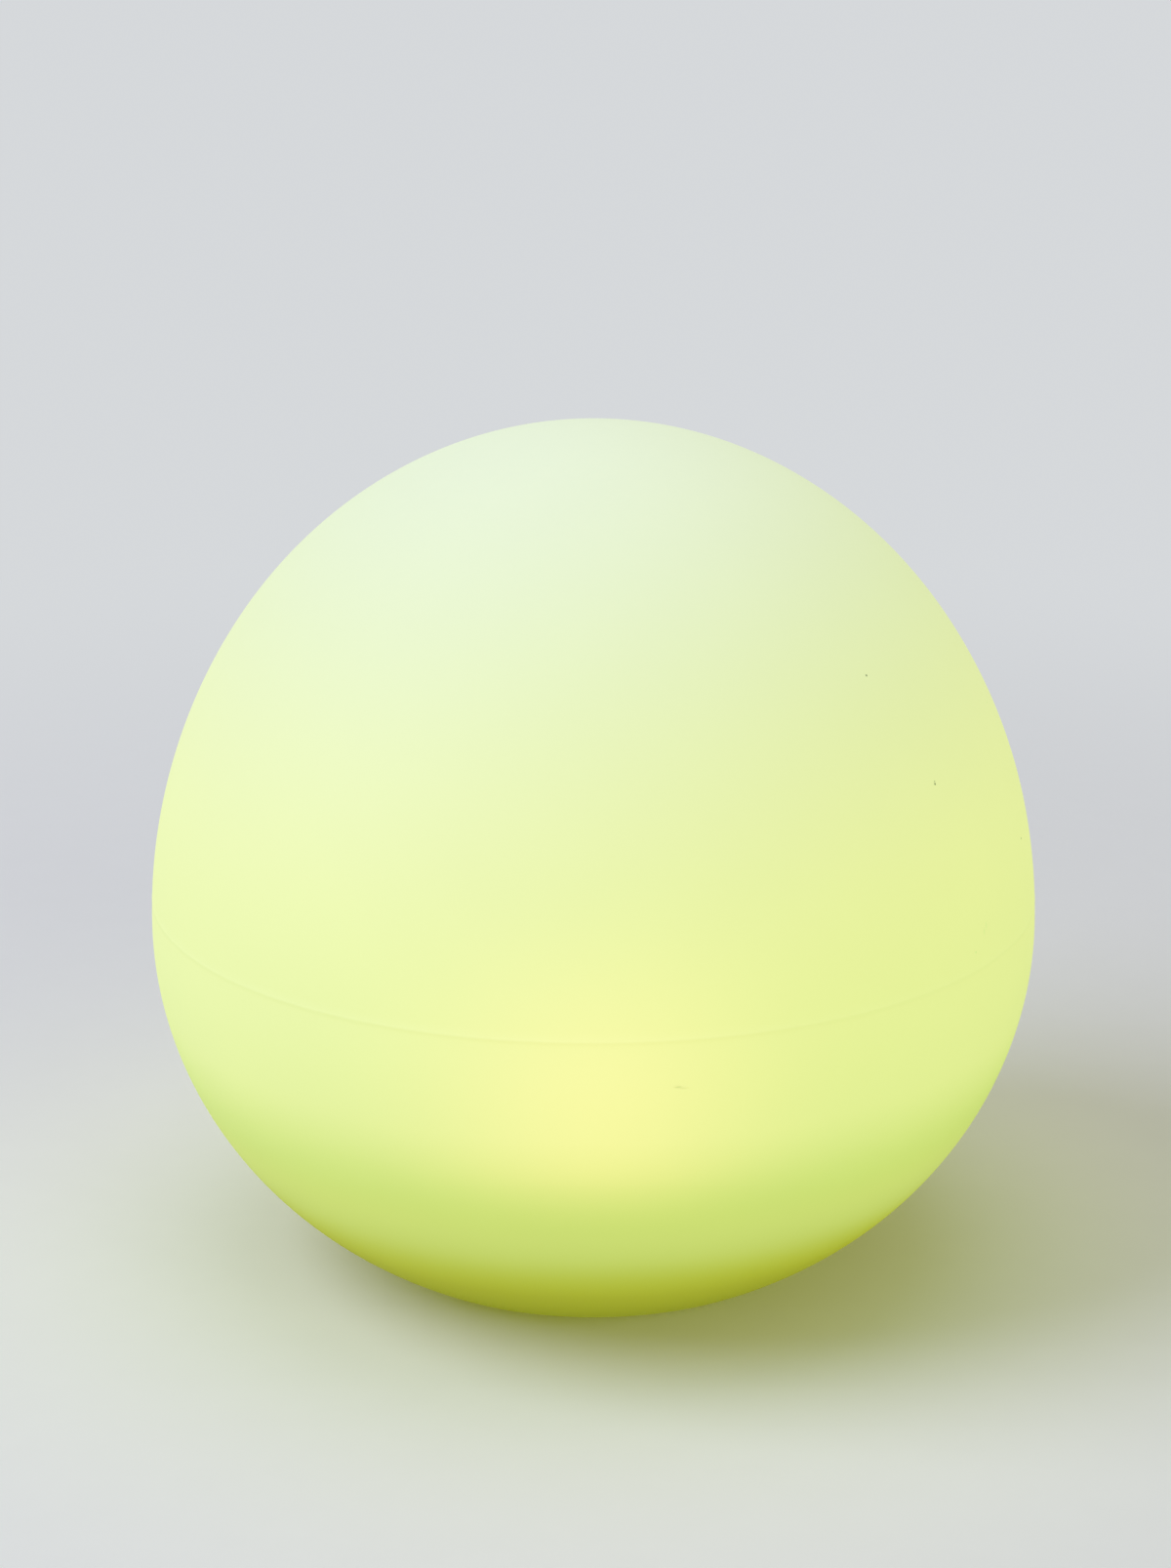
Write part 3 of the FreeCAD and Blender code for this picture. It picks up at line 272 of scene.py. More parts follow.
# %% A group for dust on faces that look up, or down where Facing is -1
steep, level_enough = 0.3, 0.95             # of the normal's Z, where dust begins and where it lies fully
cloud_bare, cloud_full = 0.42, 0.72         # of a noise, which leaves bare places
dust_group, taken, given = new_group("settled_dust", [("Facing", 1.0), ("Amount", 0.3)], ["Dust"])
place = add(dust_group, "ShaderNodeTexCoord").outputs
outward = add(dust_group, "ShaderNodeSeparateXYZ", {"Vector": place["Normal"]}).outputs
turned = product(dust_group, outward["Z"], taken["Facing"])
cloud = noise(dust_group, place["Object"], 210.0, 7.0, 0.75)
film = product(dust_group, ramped(dust_group, turned, steep, level_enough),
               ramped(dust_group, cloud, cloud_bare, cloud_full))
join(dust_group, product(dust_group, film, taken["Amount"]), given["Dust"])
print("group", dust_group.name)

# %% A group for worn outer edges with a painted highlight, where a ray into the solid soon comes out again
# the edge mask is wear and also a painted highlight along outer edges
at_edge, on_face = 0.55, 0.92               # how open the solid is to such rays
least_wear_highlight = 0.35                           # wear is uneven, and nowhere less than this
wear_highlight_group, taken, given = new_group("edge_wear_highlight", [("Reach", 0.0005), ("Amount", 0.3)], ["Edges"])
inner = add(wear_highlight_group, "ShaderNodeAmbientOcclusion", {"Distance": taken["Reach"]},
            samples=6, inside=True, only_local=True)
uneven = noise(wear_highlight_group, object_place(wear_highlight_group), 260.0, 4.0, 0.7)
edges = product(wear_highlight_group, ramped(wear_highlight_group, inner.outputs["AO"], at_edge, on_face, 1.0, 0.0),
                ramped(wear_highlight_group, uneven, 0.35, 0.6, least_wear_highlight, 1.0))
join(wear_highlight_group, product(wear_highlight_group, edges, taken["Amount"]), given["Edges"])
print("group", wear_highlight_group.name)

# %% A group for specks that lie far apart
speck_group, taken, given = new_group(
    "stray_specks", [("Scale", 40.0), ("Size", 0.02), ("Share", 0.1)], ["Specks"])
spots = add(speck_group, "ShaderNodeTexVoronoi", {
    "Vector": object_place(speck_group), "Scale": taken["Scale"]}, feature="F1").outputs
near = maths(speck_group, "LESS_THAN", spots["Distance"], taken["Size"])
drawn = add(speck_group, "ShaderNodeSeparateColor", {"Color": spots["Color"]}).outputs
chosen = maths(speck_group, "LESS_THAN", drawn["Red"], taken["Share"])
join(speck_group, product(speck_group, near, chosen), given["Specks"])
print("group", speck_group.name)

# %% [markdown]
# ## The globe's skin
#
# The globe is one moulding: plastic powder melts on the inside of a turning mould, so the wall is even, the
# outside copies the mould, and a thin proud line shows where the mould's halves met. A surface of
# revolution fits that best. Its section is a closed list of points, worked out as arrays: oval arcs, a
# blend where the bowl meets the flat underside, the stepped opening, and the inner wall back up to the
# crown. The section turns about the axis on a fine grid. The solid model has the same section, but its
# facets would show in the soft shading of a glowing globe, and the mould's faint waves need a grid.

# %% Curves that the section is made of
def oval(level, across, tall):
    """Radius of an oval at a level: across times the root of one minus the squared share of its height."""
    share = (np.asarray(level) - widest) / tall
    return across * np.sqrt(np.clip(1.0 - share ** 2, 0.0, None))


def oval_points(across, tall, start, end, count):
    """Points on an oval between two angles from its widest level; radius is across times the cosine of the
    angle, and height is tall times its sine."""
    angle = np.radians(np.linspace(start, end, count))
    return np.stack([across * np.cos(angle), widest + tall * np.sin(angle)], axis=1)


def arc_points(middle, radius, start, end, count):
    """Points on a small arc about a middle point, from one angle to another."""
    angle = np.radians(np.linspace(start, end, count))
    return np.stack([middle[0] + radius * np.cos(angle), middle[1] + radius * np.sin(angle)], axis=1)


def turn_of(level, tall):
    """The angle, in degrees, at which an oval of that height reaches a level."""
    return math.degrees(math.asin(max(-1.0, min(1.0, (level - widest) / tall))))


def blend_to_underside():
    """Where the bowl leaves its oval for the blend: the oval's angle, the blend's own first angle, and the
    radius of its middle. The middle lies a blend's radius inside the oval and as far above the underside,
    so the oval's angle is halved in on until both hold."""
    low, high = -89.0, -10.0
    for _ in range(60):                     # as fine as the numbers themselves
        angle = (low + high) / 2
        turn = math.radians(angle)
        point = np.array([side * math.cos(turn), drop * math.sin(turn)])
        out = np.array([math.cos(turn) / side, math.sin(turn) / drop])
        middle = point - blend * out / np.linalg.norm(out)
        if widest + middle[1] > underside + blend:
            high = angle
        else:
            low = angle
    return angle, math.degrees(math.atan2(out[1], out[0])), middle[0]


meets, blend_start, blend_middle = blend_to_underside()
print("bowl leaves its oval at %.1f degrees" % meets)

# %% The section of the globe
dome_count, belt_count, bowl_count, blend_count = 104, 8, 58, 16    # points on the stretches outside,
edge_count, inner_bowl_count, inner_dome_count = 6, 26, 40          # on the recess's edge, and inside
seam_steps = 10
loop = 1.0                  # from an edge to the points beside it
crease = 0.1                # between the two points of a crisp corner
chamfer_across, chamfer_down = 0.5, 0.3     # of the land's outer edge
gutter_corner = 0.4
seam_low, seam_high = turn_of(seam - seam_half, rise), turn_of(seam + seam_half, rise)
bead = oval_points(side, rise, seam_high, seam_low, seam_steps + 1)
bead[:, 0] += seam_proud * np.sin(np.linspace(0.0, math.pi, seam_steps + 1))
outer_line = np.concatenate([
    oval_points(side, rise, 90.0, seam_high, dome_count),
    bead[1:-1],
    oval_points(side, rise, seam_low, 0.0, belt_count)[:-1],
    oval_points(side, drop, 0.0, meets, bowl_count),
    arc_points((blend_middle, underside + blend), blend, blend_start, -90.0, blend_count)[1:]])
section = np.concatenate([
    outer_line,
    [[recess + 3 * loop, underside], [recess + loop, underside]],
    arc_points((recess + edge, underside + edge), edge, -90.0, -180.0, edge_count),
    [[recess, underside + 1.5 * loop], [recess, land_bottom - loop], [recess, land_bottom - crease],
     [recess - crease, land_bottom], [opening + loop, land_bottom], [opening + crease, land_bottom],
     [opening, land_bottom + crease], [opening, land_top - crease], [opening + crease, land_top],
     [land_outer - chamfer_across, land_top], [land_outer, land_top - chamfer_down],
     [land_outer, gutter + gutter_corner], [land_outer + gutter_corner, gutter]],
    oval_points(side - wall, drop - wall, turn_of(gutter, drop - wall), 0.0, inner_bowl_count)[:-1],
    oval_points(side - wall, rise - wall, 0.0, 90.0, inner_dome_count)])
section[0, 0] = section[-1, 0] = 0.0
outside = np.arange(len(section)) < len(outer_line)
print("section of", len(section), "points;", int(outside.sum()), "of them on the outside")

# %% Turn the section into a mesh
waves = [                   # share of the depth, crests round the globe, height in mm per radian, start
    (0.5, 2, 31.0, 0.7), (0.3, 5, -17.0, 2.1), (0.2, 9, 11.0, 4.0)]


def mould_waves(around, level):
    """Depth of the mould's faint waves, 0 to 1: slow waves round the globe, each leaning with the height,
    are added and moved into that span."""
    added = sum(share * np.sin(crests * around + level / lean + start)
                for share, crests, lean, start in waves)
    return 0.5 + 0.5 * added


def whole_turn(steps):
    """The angles of that many even steps round the axis."""
    return np.linspace(0.0, 2 * math.pi, steps, endpoint=False)


def turned_mesh(name, radius, level):
    """A closed mesh from grids of radius and height, one row for each point of the section and one column
    for each step round the axis. The first and the last row are poles of one point each."""
    rows, columns = radius.shape
    around = whole_turn(columns)
    body = np.stack([radius * np.cos(around), radius * np.sin(around), level], axis=2)[1:-1]
    points = np.concatenate([
        [[0.0, 0.0, level[0, 0]]], body.reshape(-1, 3), [[0.0, 0.0, level[-1, 0]]]]) * MM
    grid = 1 + np.arange((rows - 2) * columns).reshape(rows - 2, columns)
    beside = np.roll(grid, -1, axis=1)
    quads = np.stack([grid[:-1], grid[1:], beside[1:], beside[:-1]], axis=2).reshape(-1, 4)
    top = np.stack([np.zeros(columns, int), grid[0], beside[0]], axis=1)
    last = len(points) - 1
    end = np.stack([np.full(columns, last), beside[-1], grid[-1]], axis=1)
    mesh = bpy.data.meshes.new(name)
    mesh.from_pydata(points.tolist(), [], quads.tolist() + top.tolist() + end.tolist())
    mesh.polygons.foreach_set("use_smooth", np.ones(len(mesh.polygons), bool))
    mesh.update()
    return mesh


def spread_round(profile, columns):
    """Grids of radius and height for a profile that is the same all round."""
    return np.repeat(profile[:, 0:1], columns, axis=1), np.repeat(profile[:, 1:2], columns, axis=1)


columns = 288
wave_depth = 0.22
waves_from, waves_over = 18.0, 25.0         # the waves start at this height and grow over the next
calm_crown = 60.0                           # and shrink inside this radius
radius, level = spread_round(section, columns)
fade = np.clip((level - waves_from) / waves_over, 0.0, 1.0) * np.clip(radius / calm_crown, 0.0, 1.0)
fade = fade * outside[:, None]
radius = radius - wave_depth * fade * mould_waves(whole_turn(columns)[None, :], level)
skin = bpy.data.objects.new("globe_skin", turned_mesh("globe_skin", radius, level))
bpy.context.scene.collection.objects.link(skin)
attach(skin, "globe")
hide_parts("globe_shell")
print("skin has", len(skin.data.polygons), "faces")

# %% [markdown]
# ## Bosses for the lock ring's screws
#
# Six round bosses stand on the land round the opening, inside the globe, each over a brass insert. They are
# short turned posts with a rounded top, and they are part of the same moulding, so they take its finish.

# %% Six bosses on the land
boss_count, boss_columns = 6, 24
boss_circle = opening + 3.4
boss_radius, boss_top = 3.3, 19.3
boss_foot = 3.6                             # radius where it widens into the land
boss_bottom = land_top - 0.8                # sunk a little into the land
boss_profile = np.array([
    [0.0, boss_top], [boss_radius - 0.7, boss_top], [boss_radius - 0.3, boss_top - 0.15],
    [boss_radius - 0.05, boss_top - 0.6], [boss_radius, boss_top - 1.3], [boss_radius, land_top + 0.5],
    [boss_foot, land_top], [boss_foot, boss_bottom], [0.0, boss_bottom]])
posts = []
for angle in whole_turn(boss_count):
    post = bpy.data.objects.new("post", turned_mesh("post", *spread_round(boss_profile, boss_columns)))
    post_x, post_y = boss_circle * MM * math.cos(angle), boss_circle * MM * math.sin(angle)
    post.data.transform(Matrix.Translation((post_x, post_y, 0.0)))
    bpy.context.scene.collection.objects.link(post)
    posts.append(post)
with bpy.context.temp_override(active_object=posts[0], selected_editable_objects=posts):
    bpy.ops.object.join()
bosses = posts[0]
bosses.name = bosses.data.name = "globe_bosses"
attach(bosses, "globe")
print("bosses have", len(bosses.data.polygons), "faces")

# %% [markdown]
# ## Milky plastic that glows
#
# Light from the module fills the globe and leaves through its wall. Following every ray through a cloudy
# wall would be slow and noisy, so the glow is written as what it looks like: the plastic gives off light of
# its own, by its height. It is brightest just above the module's rim, fades slowly towards the crown, and
# falls off in a soft band below the rim, where the opaque module shades the bowl. Its blue rises towards
# the crown, which is painted skylight. Three warmer places lie evenly round the globe, the first at the
# front. Daylight on the plastic is left to the lamps of the studio, and the body colour is a plain milky
# one, but darker and yellower towards the base, which is painted shade near the ground.

# %% The glow by height, and its three warm places
# the lamp's glow by height; the blue that rises towards the crown is painted skylight
glow_stops = [              # height in millimetres and colour
    (2, (0.17, 0.19, 0.00)), (20, (0.34, 0.37, 0.00)), (30, (0.42, 0.49, 0.02)), (40, (0.52, 0.63, 0.13)),
    (49, (0.55, 0.66, 0.12)), (58, (0.52, 0.66, 0.09)), (68, (0.60, 0.72, 0.14)), (80, (0.68, 0.77, 0.18)),
    (125, (0.71, 0.78, 0.19)), (160, (0.68, 0.74, 0.21)), (200, (0.60, 0.68, 0.25)),
    (240, (0.58, 0.65, 0.37))]
# the plastic's own colour by height, with painted shade: darker and yellower towards the base
shaded_body_stops = [
    (2, (0.10, 0.12, 0.03)), (40, (0.18, 0.20, 0.13)), (62, (0.28, 0.30, 0.29)), (85, (0.30, 0.33, 0.37)),
    (240, (0.32, 0.34, 0.40))]
black = colour(0.0, 0.0, 0.0)
warm_tint = colour(0.17, 0.07, 0.045)       # what the warm places add
warm_sharpness = 4.0
warm_from, warm_full = 0.048, 0.074         # heights in metres between which they come up
warm_dims, warm_gone = 0.086, 0.152         # and between which they fade
least_radius = 0.002                        # keeps the division by the radius safe at the crown
dimmest_patch = 0.985
seam_shade = 0.98                           # the wall is thicker at the parting line, and lets less through
seam_shade_drop = 0.4                       # the shade's middle lies this far below the line, in mm
seam_shade_inner, seam_shade_outer = 0.2, 0.8


def by_height(tree, height, stops, interpolation):
    """A colour that changes with height, from (height in millimetres, colour) stops."""
    made = add(tree, "ShaderNodeValToRGB", {"Fac": maths(tree, "DIVIDE", height, crown * MM)})
    ramp = made.color_ramp
    ramp.interpolation = interpolation
    while len(ramp.elements) < len(stops):
        ramp.elements.new(0.5)
    for element, (z, shade) in zip(ramp.elements, stops):
        element.position = z / crown
        element.color = colour(*shade)
    return made.outputs["Color"]


def three_lobes(tree, x, y):
    """One at the front and a third of a turn to each side, and nothing between them. Where front is the
    cosine of the angle from the front, 4 front^3 - 3 front is the cosine of three times that angle."""
    out = maths(tree, "SQRT", maths(tree, "ADD", product(tree, x, x), product(tree, y, y)))
    front = maths(tree, "DIVIDE", product(tree, y, -1.0), maths(tree, "MAXIMUM", out, least_radius))
    cubed = maths(tree, "POWER", front, 3.0)
    tripled = maths(tree, "SUBTRACT", product(tree, cubed, 4.0), product(tree, front, 3.0))
    return maths(tree, "POWER", maths(tree, "MULTIPLY_ADD", tripled, 0.5, 0.5, clamp=True), warm_sharpness)


glow_group, _, given = new_group("lamp_glow", [], ["Glow", "Shaded Body"], "NodeSocketColor")
place = object_place(glow_group)
x, y, z = add(glow_group, "ShaderNodeSeparateXYZ", {"Vector": place}).outputs
rising = ramped(glow_group, z, warm_from, warm_full, smooth=True)
falling = ramped(glow_group, z, warm_dims, warm_gone, 1.0, 0.0, smooth=True)
warm = product(glow_group, three_lobes(glow_group, x, y), product(glow_group, rising, falling))
glow = summed(glow_group, by_height(glow_group, z, glow_stops, "B_SPLINE"),
              mixed(glow_group, warm, black, warm_tint))
evenness = varied(glow_group, noise(glow_group, place, 22.0, 3.0), dimmest_patch, 1.0)
from_seam = maths(glow_group, "ABSOLUTE", maths(glow_group, "SUBTRACT", z, (seam - seam_shade_drop) * MM))
thicker = ramped(glow_group, from_seam, seam_shade_inner * MM, seam_shade_outer * MM, seam_shade, 1.0,
                 smooth=True)
join(glow_group, scaled(glow_group, glow, product(glow_group, evenness, thicker)), given["Glow"])
join(glow_group, by_height(glow_group, z, shaded_body_stops, "EASE"), given["Shaded Body"])
print("glow has", len(glow_stops), "stops")

# %% Helpers for materials
def material(name):
    """A new material with an empty tree but for its Principled shader and output."""
    made = bpy.data.materials.new(name)
    made.use_nodes = True
    made.node_tree.nodes.clear()
    shader = made.node_tree.nodes.new("ShaderNodeBsdfPrincipled")
    add(made.node_tree, "ShaderNodeOutputMaterial", {"Surface": shader.outputs[0]})
    return made, made.node_tree, shader


def placed(tree, group, values=()):
    """A shared group's outputs in a material, with the material's own values for its inputs."""
    made = tree.nodes.new("ShaderNodeGroup")
    made.node_tree = group
    for key, value in dict(values).items():
        made.inputs[key].default_value = value
    return made.outputs


def relief(tree, shader, height, strength, depth):
    """Bumps on a shader's normal, from a height of 0 to 1 that stands for a depth in metres."""
    bump = add(tree, "ShaderNodeBump", {"Strength": strength, "Distance": depth, "Height": height})
    join(tree, bump.outputs["Normal"], shader.inputs["Normal"])
    return bump


print("helpers for materials ready")

# %% [markdown]
# ## Small marks on the globe
#
# A few pinholes, a smudge and two faint vertical scratches lie on the front. Each is a soft oval mask at its
# own place, and the group puts out the darkest of them.

# %% Small marks on the globe
marks = [                   # degrees right of the front, height, half width and half height in mm, darkness
    (47.5, 188.2, 0.42, 0.34, 0.75), (52.8, 159.9, 0.34, 0.32, 0.55), (52.7, 159.3, 0.42, 0.38, 0.90),
    (80.8, 166.7, 0.45, 0.40, 0.20), (55.0, 113.1, 0.42, 0.42, 0.22), (9.9, 95.3, 1.50, 0.42, 0.20),
    (10.6, 94.9, 1.60, 0.24, 0.16), (58.0, 118.7, 0.34, 1.30, 0.14), (57.4, 117.4, 0.34, 1.30, 0.14)]
mark_depth = 2.0            # how far a mark reaches into the wall, which the skin's waves need
mark_core = 0.4             # share of its size inside which a mark is at its darkest


def mark_at(tree, place, degrees, height, half_width, half_height):
    """A soft mask round one place on the globe. The mapping moves the place to the origin, turns the
    outward direction to X and divides by the mark's half sizes, so the mark ends at a distance of one."""
    turn = math.radians(degrees) - math.pi / 2
    reach = float(oval(height, side, rise if height > widest else drop)) * MM
    local = add(tree, "ShaderNodeMapping", {
        "Vector": place, "Location": (reach * math.cos(turn), reach * math.sin(turn), height * MM),
        "Rotation": (0.0, 0.0, turn), "Scale": (mark_depth * MM, half_width * MM, half_height * MM)},
        vector_type="TEXTURE")
    return ramped(tree, length(tree, local.outputs["Vector"]), mark_core, 1.0, 1.0, 0.0)


mark_group, _, given = new_group("small_marks", [], ["Marks"])
place = object_place(mark_group)
deepest = 0.0
for *where_and_size, darkness in marks:
    mark = product(mark_group, mark_at(mark_group, place, *where_and_size), darkness)
    deepest = maths(mark_group, "MAXIMUM", deepest, mark)
join(mark_group, deepest, given["Marks"])
print(len(marks), "marks")

# %% The milky plastic
speck_darkness = 0.45
smoother_patch, rougher_patch = 0.52, 0.62  # roughness of the slow patches
scuffs_polish = -0.12       # scuffs are smoother than what lies between them
milky, tree, shader = material("milky_polyethylene")
glowing = placed(tree, glow_group)
grain = placed(tree, grain_group, {"Grain Scale": 900.0, "Patch Scale": 30.0})
scuffs = placed(tree, scuff_group, {"Scale": 26.0, "Amount": 0.35})
specks = placed(tree, speck_group, {"Scale": 60.0, "Size": 0.028, "Share": 0.05})
dust = placed(tree, dust_group, {"Facing": 1.0, "Amount": 0.05})
marked = placed(tree, mark_group)
darker = maths(tree, "MAXIMUM", product(tree, specks["Specks"], speck_darkness), marked["Marks"])
# the body colour carries the painted shade towards the base
body = mixed(tree, darker, glowing["Shaded Body"], colour(0.03, 0.035, 0.015))
join(tree, mixed(tree, dust["Dust"], body, colour(0.50, 0.48, 0.42)), shader.inputs["Base Color"])
join(tree, mixed(tree, darker, glowing["Glow"], colour(0.02, 0.04, 0.0)), shader.inputs["Emission Color"])
base = ramped(tree, grain["Patches"], 0.0, 1.0, smoother_patch, rougher_patch)
join(tree, maths(tree, "MULTIPLY_ADD", scuffs["Scuffs"], scuffs_polish, base), shader.inputs["Roughness"])
shader.inputs["Emission Strength"].default_value = 1.0
shader.inputs["IOR"].default_value = 1.5
shader.inputs["Specular IOR Level"].default_value = 0.0
shader.inputs["Coat Weight"].default_value = 0.5
shader.inputs["Coat Roughness"].default_value = 0.6
relief(tree, shader, grain["Grain"], 0.12, 0.0002)
for piece in (skin, bosses):
    piece.data.materials.clear()
    piece.data.materials.append(milky)
finishes = {"milky_polyethylene": milky}
print("finish", milky.name)

# %% [markdown]
# ## Moulded plastic and rubber
#
# The module's housing is black plastic from a steel mould whose surface was roughened, so it has an even,
# fine grain. It is dull where it was handled, and carries a little dry soil underneath. Rubber and silicone
# are softer and more even, with a dusty bloom. One recipe makes them all: two tones mixed by slow patches,
# worn edges with a painted edge highlight and scuffs that lighten the colour, dust, a roughness that
# follows the grain, and the grain as a bump.

# %% A recipe for moulded finishes
soil = colour(0.30, 0.26, 0.20)
grain_swing = 0.06          # how far the grain moves the roughness either way
scuffs_dull, dust_dulls = 0.25, 0.3         # what they add to it
grain_depth = 0.0003        # in metres


def moulded(name, tone, second, roughness, bump=0.25, grain_scale=2600.0, patch_scale=30.0, scuff=0.2,
            dust=0.15, wear_highlight=0.0):
    """A finish of two tones: patches mix them, worn edges with a painted highlight, scuffs and dust lie
    over them, and the grain roughens it."""
    made, tree, shader = material(name)
    grain = placed(tree, grain_group, {"Grain Scale": grain_scale, "Patch Scale": patch_scale})
    scuffs = placed(tree, scuff_group, {"Scale": 70.0, "Amount": scuff})["Scuffs"]
    dusty = placed(tree, dust_group, {"Facing": -1.0, "Amount": dust})["Dust"]
    scuffs_and_wear_highlight = scuffs
    # outer edges lighten the colour as wear and as a painted highlight
    if wear_highlight:
        scuffs_and_wear_highlight = maths(tree, "MAXIMUM", scuffs, placed(tree, wear_highlight_group, {"Amount": wear_highlight})["Edges"])
    paler = colour(*[min(1.0, c * 1.8 + 0.05) for c in tone])
    shade = mixed(tree, grain["Patches"], colour(*tone), colour(*second))
    shade = mixed(tree, scuffs_and_wear_highlight, shade, paler)
    join(tree, mixed(tree, dusty, shade, soil), shader.inputs["Base Color"])
    base = varied(tree, grain["Grain"], roughness - grain_swing, roughness + grain_swing)
    duller = maths(tree, "MULTIPLY_ADD", scuffs, scuffs_dull, base)
    duller = maths(tree, "MULTIPLY_ADD", dusty, dust_dulls, duller, clamp=True)
    join(tree, duller, shader.inputs["Roughness"])
    relief(tree, shader, grain["Grain"], bump, grain_depth)
    return made


moulded_finishes = [        # name, two tones, roughness, and what differs from the recipe
    ("black_abs", (0.022, 0.023, 0.025), (0.034, 0.035, 0.037), 0.48, {"dust": 0.10, "wear_highlight": 0.9}),
    ("black_rubber", (0.030, 0.030, 0.031), (0.046, 0.046, 0.047), 0.72,
     {"bump": 0.35, "grain_scale": 1800.0, "dust": 0.16}),
    ("grey_silicone", (0.20, 0.21, 0.22), (0.26, 0.27, 0.28), 0.58, {"bump": 0.15, "dust": 0.1, "wear_highlight": 0.4}),
    ("button_silicone", (0.30, 0.31, 0.32), (0.37, 0.38, 0.39), 0.55,
     {"bump": 0.2, "scuff": 0.12, "dust": 0.18, "wear_highlight": 0.4}),
    ("housing_white", (0.62, 0.61, 0.57), (0.70, 0.69, 0.66), 0.42,
     {"bump": 0.1, "scuff": 0.1, "dust": 0.05}),
    ("chip_black", (0.018, 0.018, 0.019), (0.030, 0.030, 0.031), 0.55,
     {"bump": 0.4, "grain_scale": 6000.0, "dust": 0.0}),
    ("ferrite", (0.060, 0.060, 0.064), (0.095, 0.094, 0.098), 0.66,
     {"bump": 0.5, "grain_scale": 5000.0, "dust": 0.05}),
    ("thermal_grey", (0.34, 0.35, 0.38), (0.42, 0.43, 0.45), 0.85,
     {"bump": 0.4, "grain_scale": 4000.0, "dust": 0.0})]
for name, tone, second, roughness, own in moulded_finishes:
    finishes[name] = moulded(name, tone, second, roughness, **own)
print(len(finishes), "finishes so far")

# %% [markdown]
# ## Leads and the cell's sleeve
#
# A lead's insulation is soft, smooth and slightly glossy. The battery cell is shrink-wrapped in a thin blue
# film, which is smoother still and shows the faint ring marks of the can below it.

# %% Leads and the wrapped cell
lead_tones = {
    "red_lead": (0.55, 0.030, 0.025), "black_lead": (0.020, 0.020, 0.021), "white_lead": (0.66, 0.65, 0.62)}
for name, tone in lead_tones.items():
    second = [min(1.0, c * 1.25 + 0.01) for c in tone]
    finishes[name] = moulded(name, tone, second, 0.38, bump=0.08, patch_scale=90.0, scuff=0.05, dust=0.03)

sleeve = moulded("cell_sleeve", (0.025, 0.10, 0.34), (0.035, 0.13, 0.40), 0.30, bump=0.05, patch_scale=45.0,
                 scuff=0.12, dust=0.02)
tree = sleeve.node_tree
shader = next(node for node in tree.nodes if node.type == "BSDF_PRINCIPLED")
film_normal = shader.inputs["Normal"].links[0].from_socket
rings = add(tree, "ShaderNodeTexWave", {"Vector": object_place(tree), "Scale": 55.0, "Distortion": 0.4},
            bands_direction="X")
join(tree, film_normal, relief(tree, shader, rings.outputs["Fac"], 0.08, 0.0002).inputs["Normal"])
finishes["cell_sleeve"] = sleeve
print(len(finishes), "finishes so far")

# %% [markdown]
# ## Metals
#
# The screws are zinc-plated steel with a faint blue cast, the inserts are turned brass, the strips on the
# cell are rolled nickel, and the tall parts on the board are aluminium cans. Real metal is never even: fine
# lines from turning or rolling stretch the highlights, and handling leaves duller patches.

# %% A recipe for worked metal
line_scale, line_depth = 900.0, 0.0002      # lines in a metre, and their depth in metres
patches_dull = 0.08                         # what duller patches add to the roughness


def worked_metal(name, tone, second, roughness, along):
    """A metal whose fine lines are a noise that is stretched along one direction."""
    made, tree, shader = material(name)
    stretched = add(tree, "ShaderNodeMapping", {"Vector": object_place(tree), "Scale": along})
    lines = noise(tree, stretched.outputs["Vector"], line_scale, 4.0, 0.65)
    grain = placed(tree, grain_group, {"Grain Scale": 1500.0, "Patch Scale": 160.0})
    shade = mixed(tree, grain["Patches"], colour(*tone), colour(*second))
    join(tree, shade, shader.inputs["Base Color"])
    shader.inputs["Metallic"].default_value = 1.0
    base = varied(tree, lines, roughness - 0.07, roughness + 0.08)
    duller = maths(tree, "MULTIPLY_ADD", grain["Patches"], patches_dull, base, clamp=True)
    join(tree, duller, shader.inputs["Roughness"])
    relief(tree, shader, lines, 0.1, line_depth)
    return made


metals = [                  # name, two tones, roughness, and how the noise is squeezed along X, Y and Z
    ("brass", (0.72, 0.50, 0.20), (0.62, 0.41, 0.15), 0.30, (1.0, 1.0, 12.0)),
    ("zinc_steel", (0.60, 0.62, 0.66), (0.50, 0.51, 0.53), 0.34, (1.0, 1.0, 1.0)),
    ("nickel_strip", (0.66, 0.64, 0.60), (0.58, 0.56, 0.52), 0.30, (1.0, 1.0, 0.06)),
    ("capacitor_can", (0.70, 0.71, 0.72), (0.62, 0.63, 0.65), 0.26, (1.0, 1.0, 0.08))]
for name, tone, second, roughness, along in metals:
    finishes[name] = worked_metal(name, tone, second, roughness, along)
print(len(finishes), "finishes so far")

# %% [markdown]
# ## Boards, lamps and the clear cover
#
# A circuit board is glass cloth under a tinted lacquer: copper tracks show through as slightly paler lines
# with square corners, small dots mark the holes that join its two faces, and the weave is a fine check. A
# wall of long bricks gives such tracks: its joints are the lines, and a slow noise leaves some of them out.
# The board under the lamps is white, to throw light back. Each lamp is a pale ceramic block with a cup of
# yellow phosphor in its top. The cover over them is moulded from clear plastic, slightly frosted.

# %% Circuit boards
walls = [(0.0, 0.50, 0.53), (math.pi / 2, 0.46, 0.43)]     # turn, and the noise's span that shows its joints
cloth_height = 0.15         # beside a track's height of one


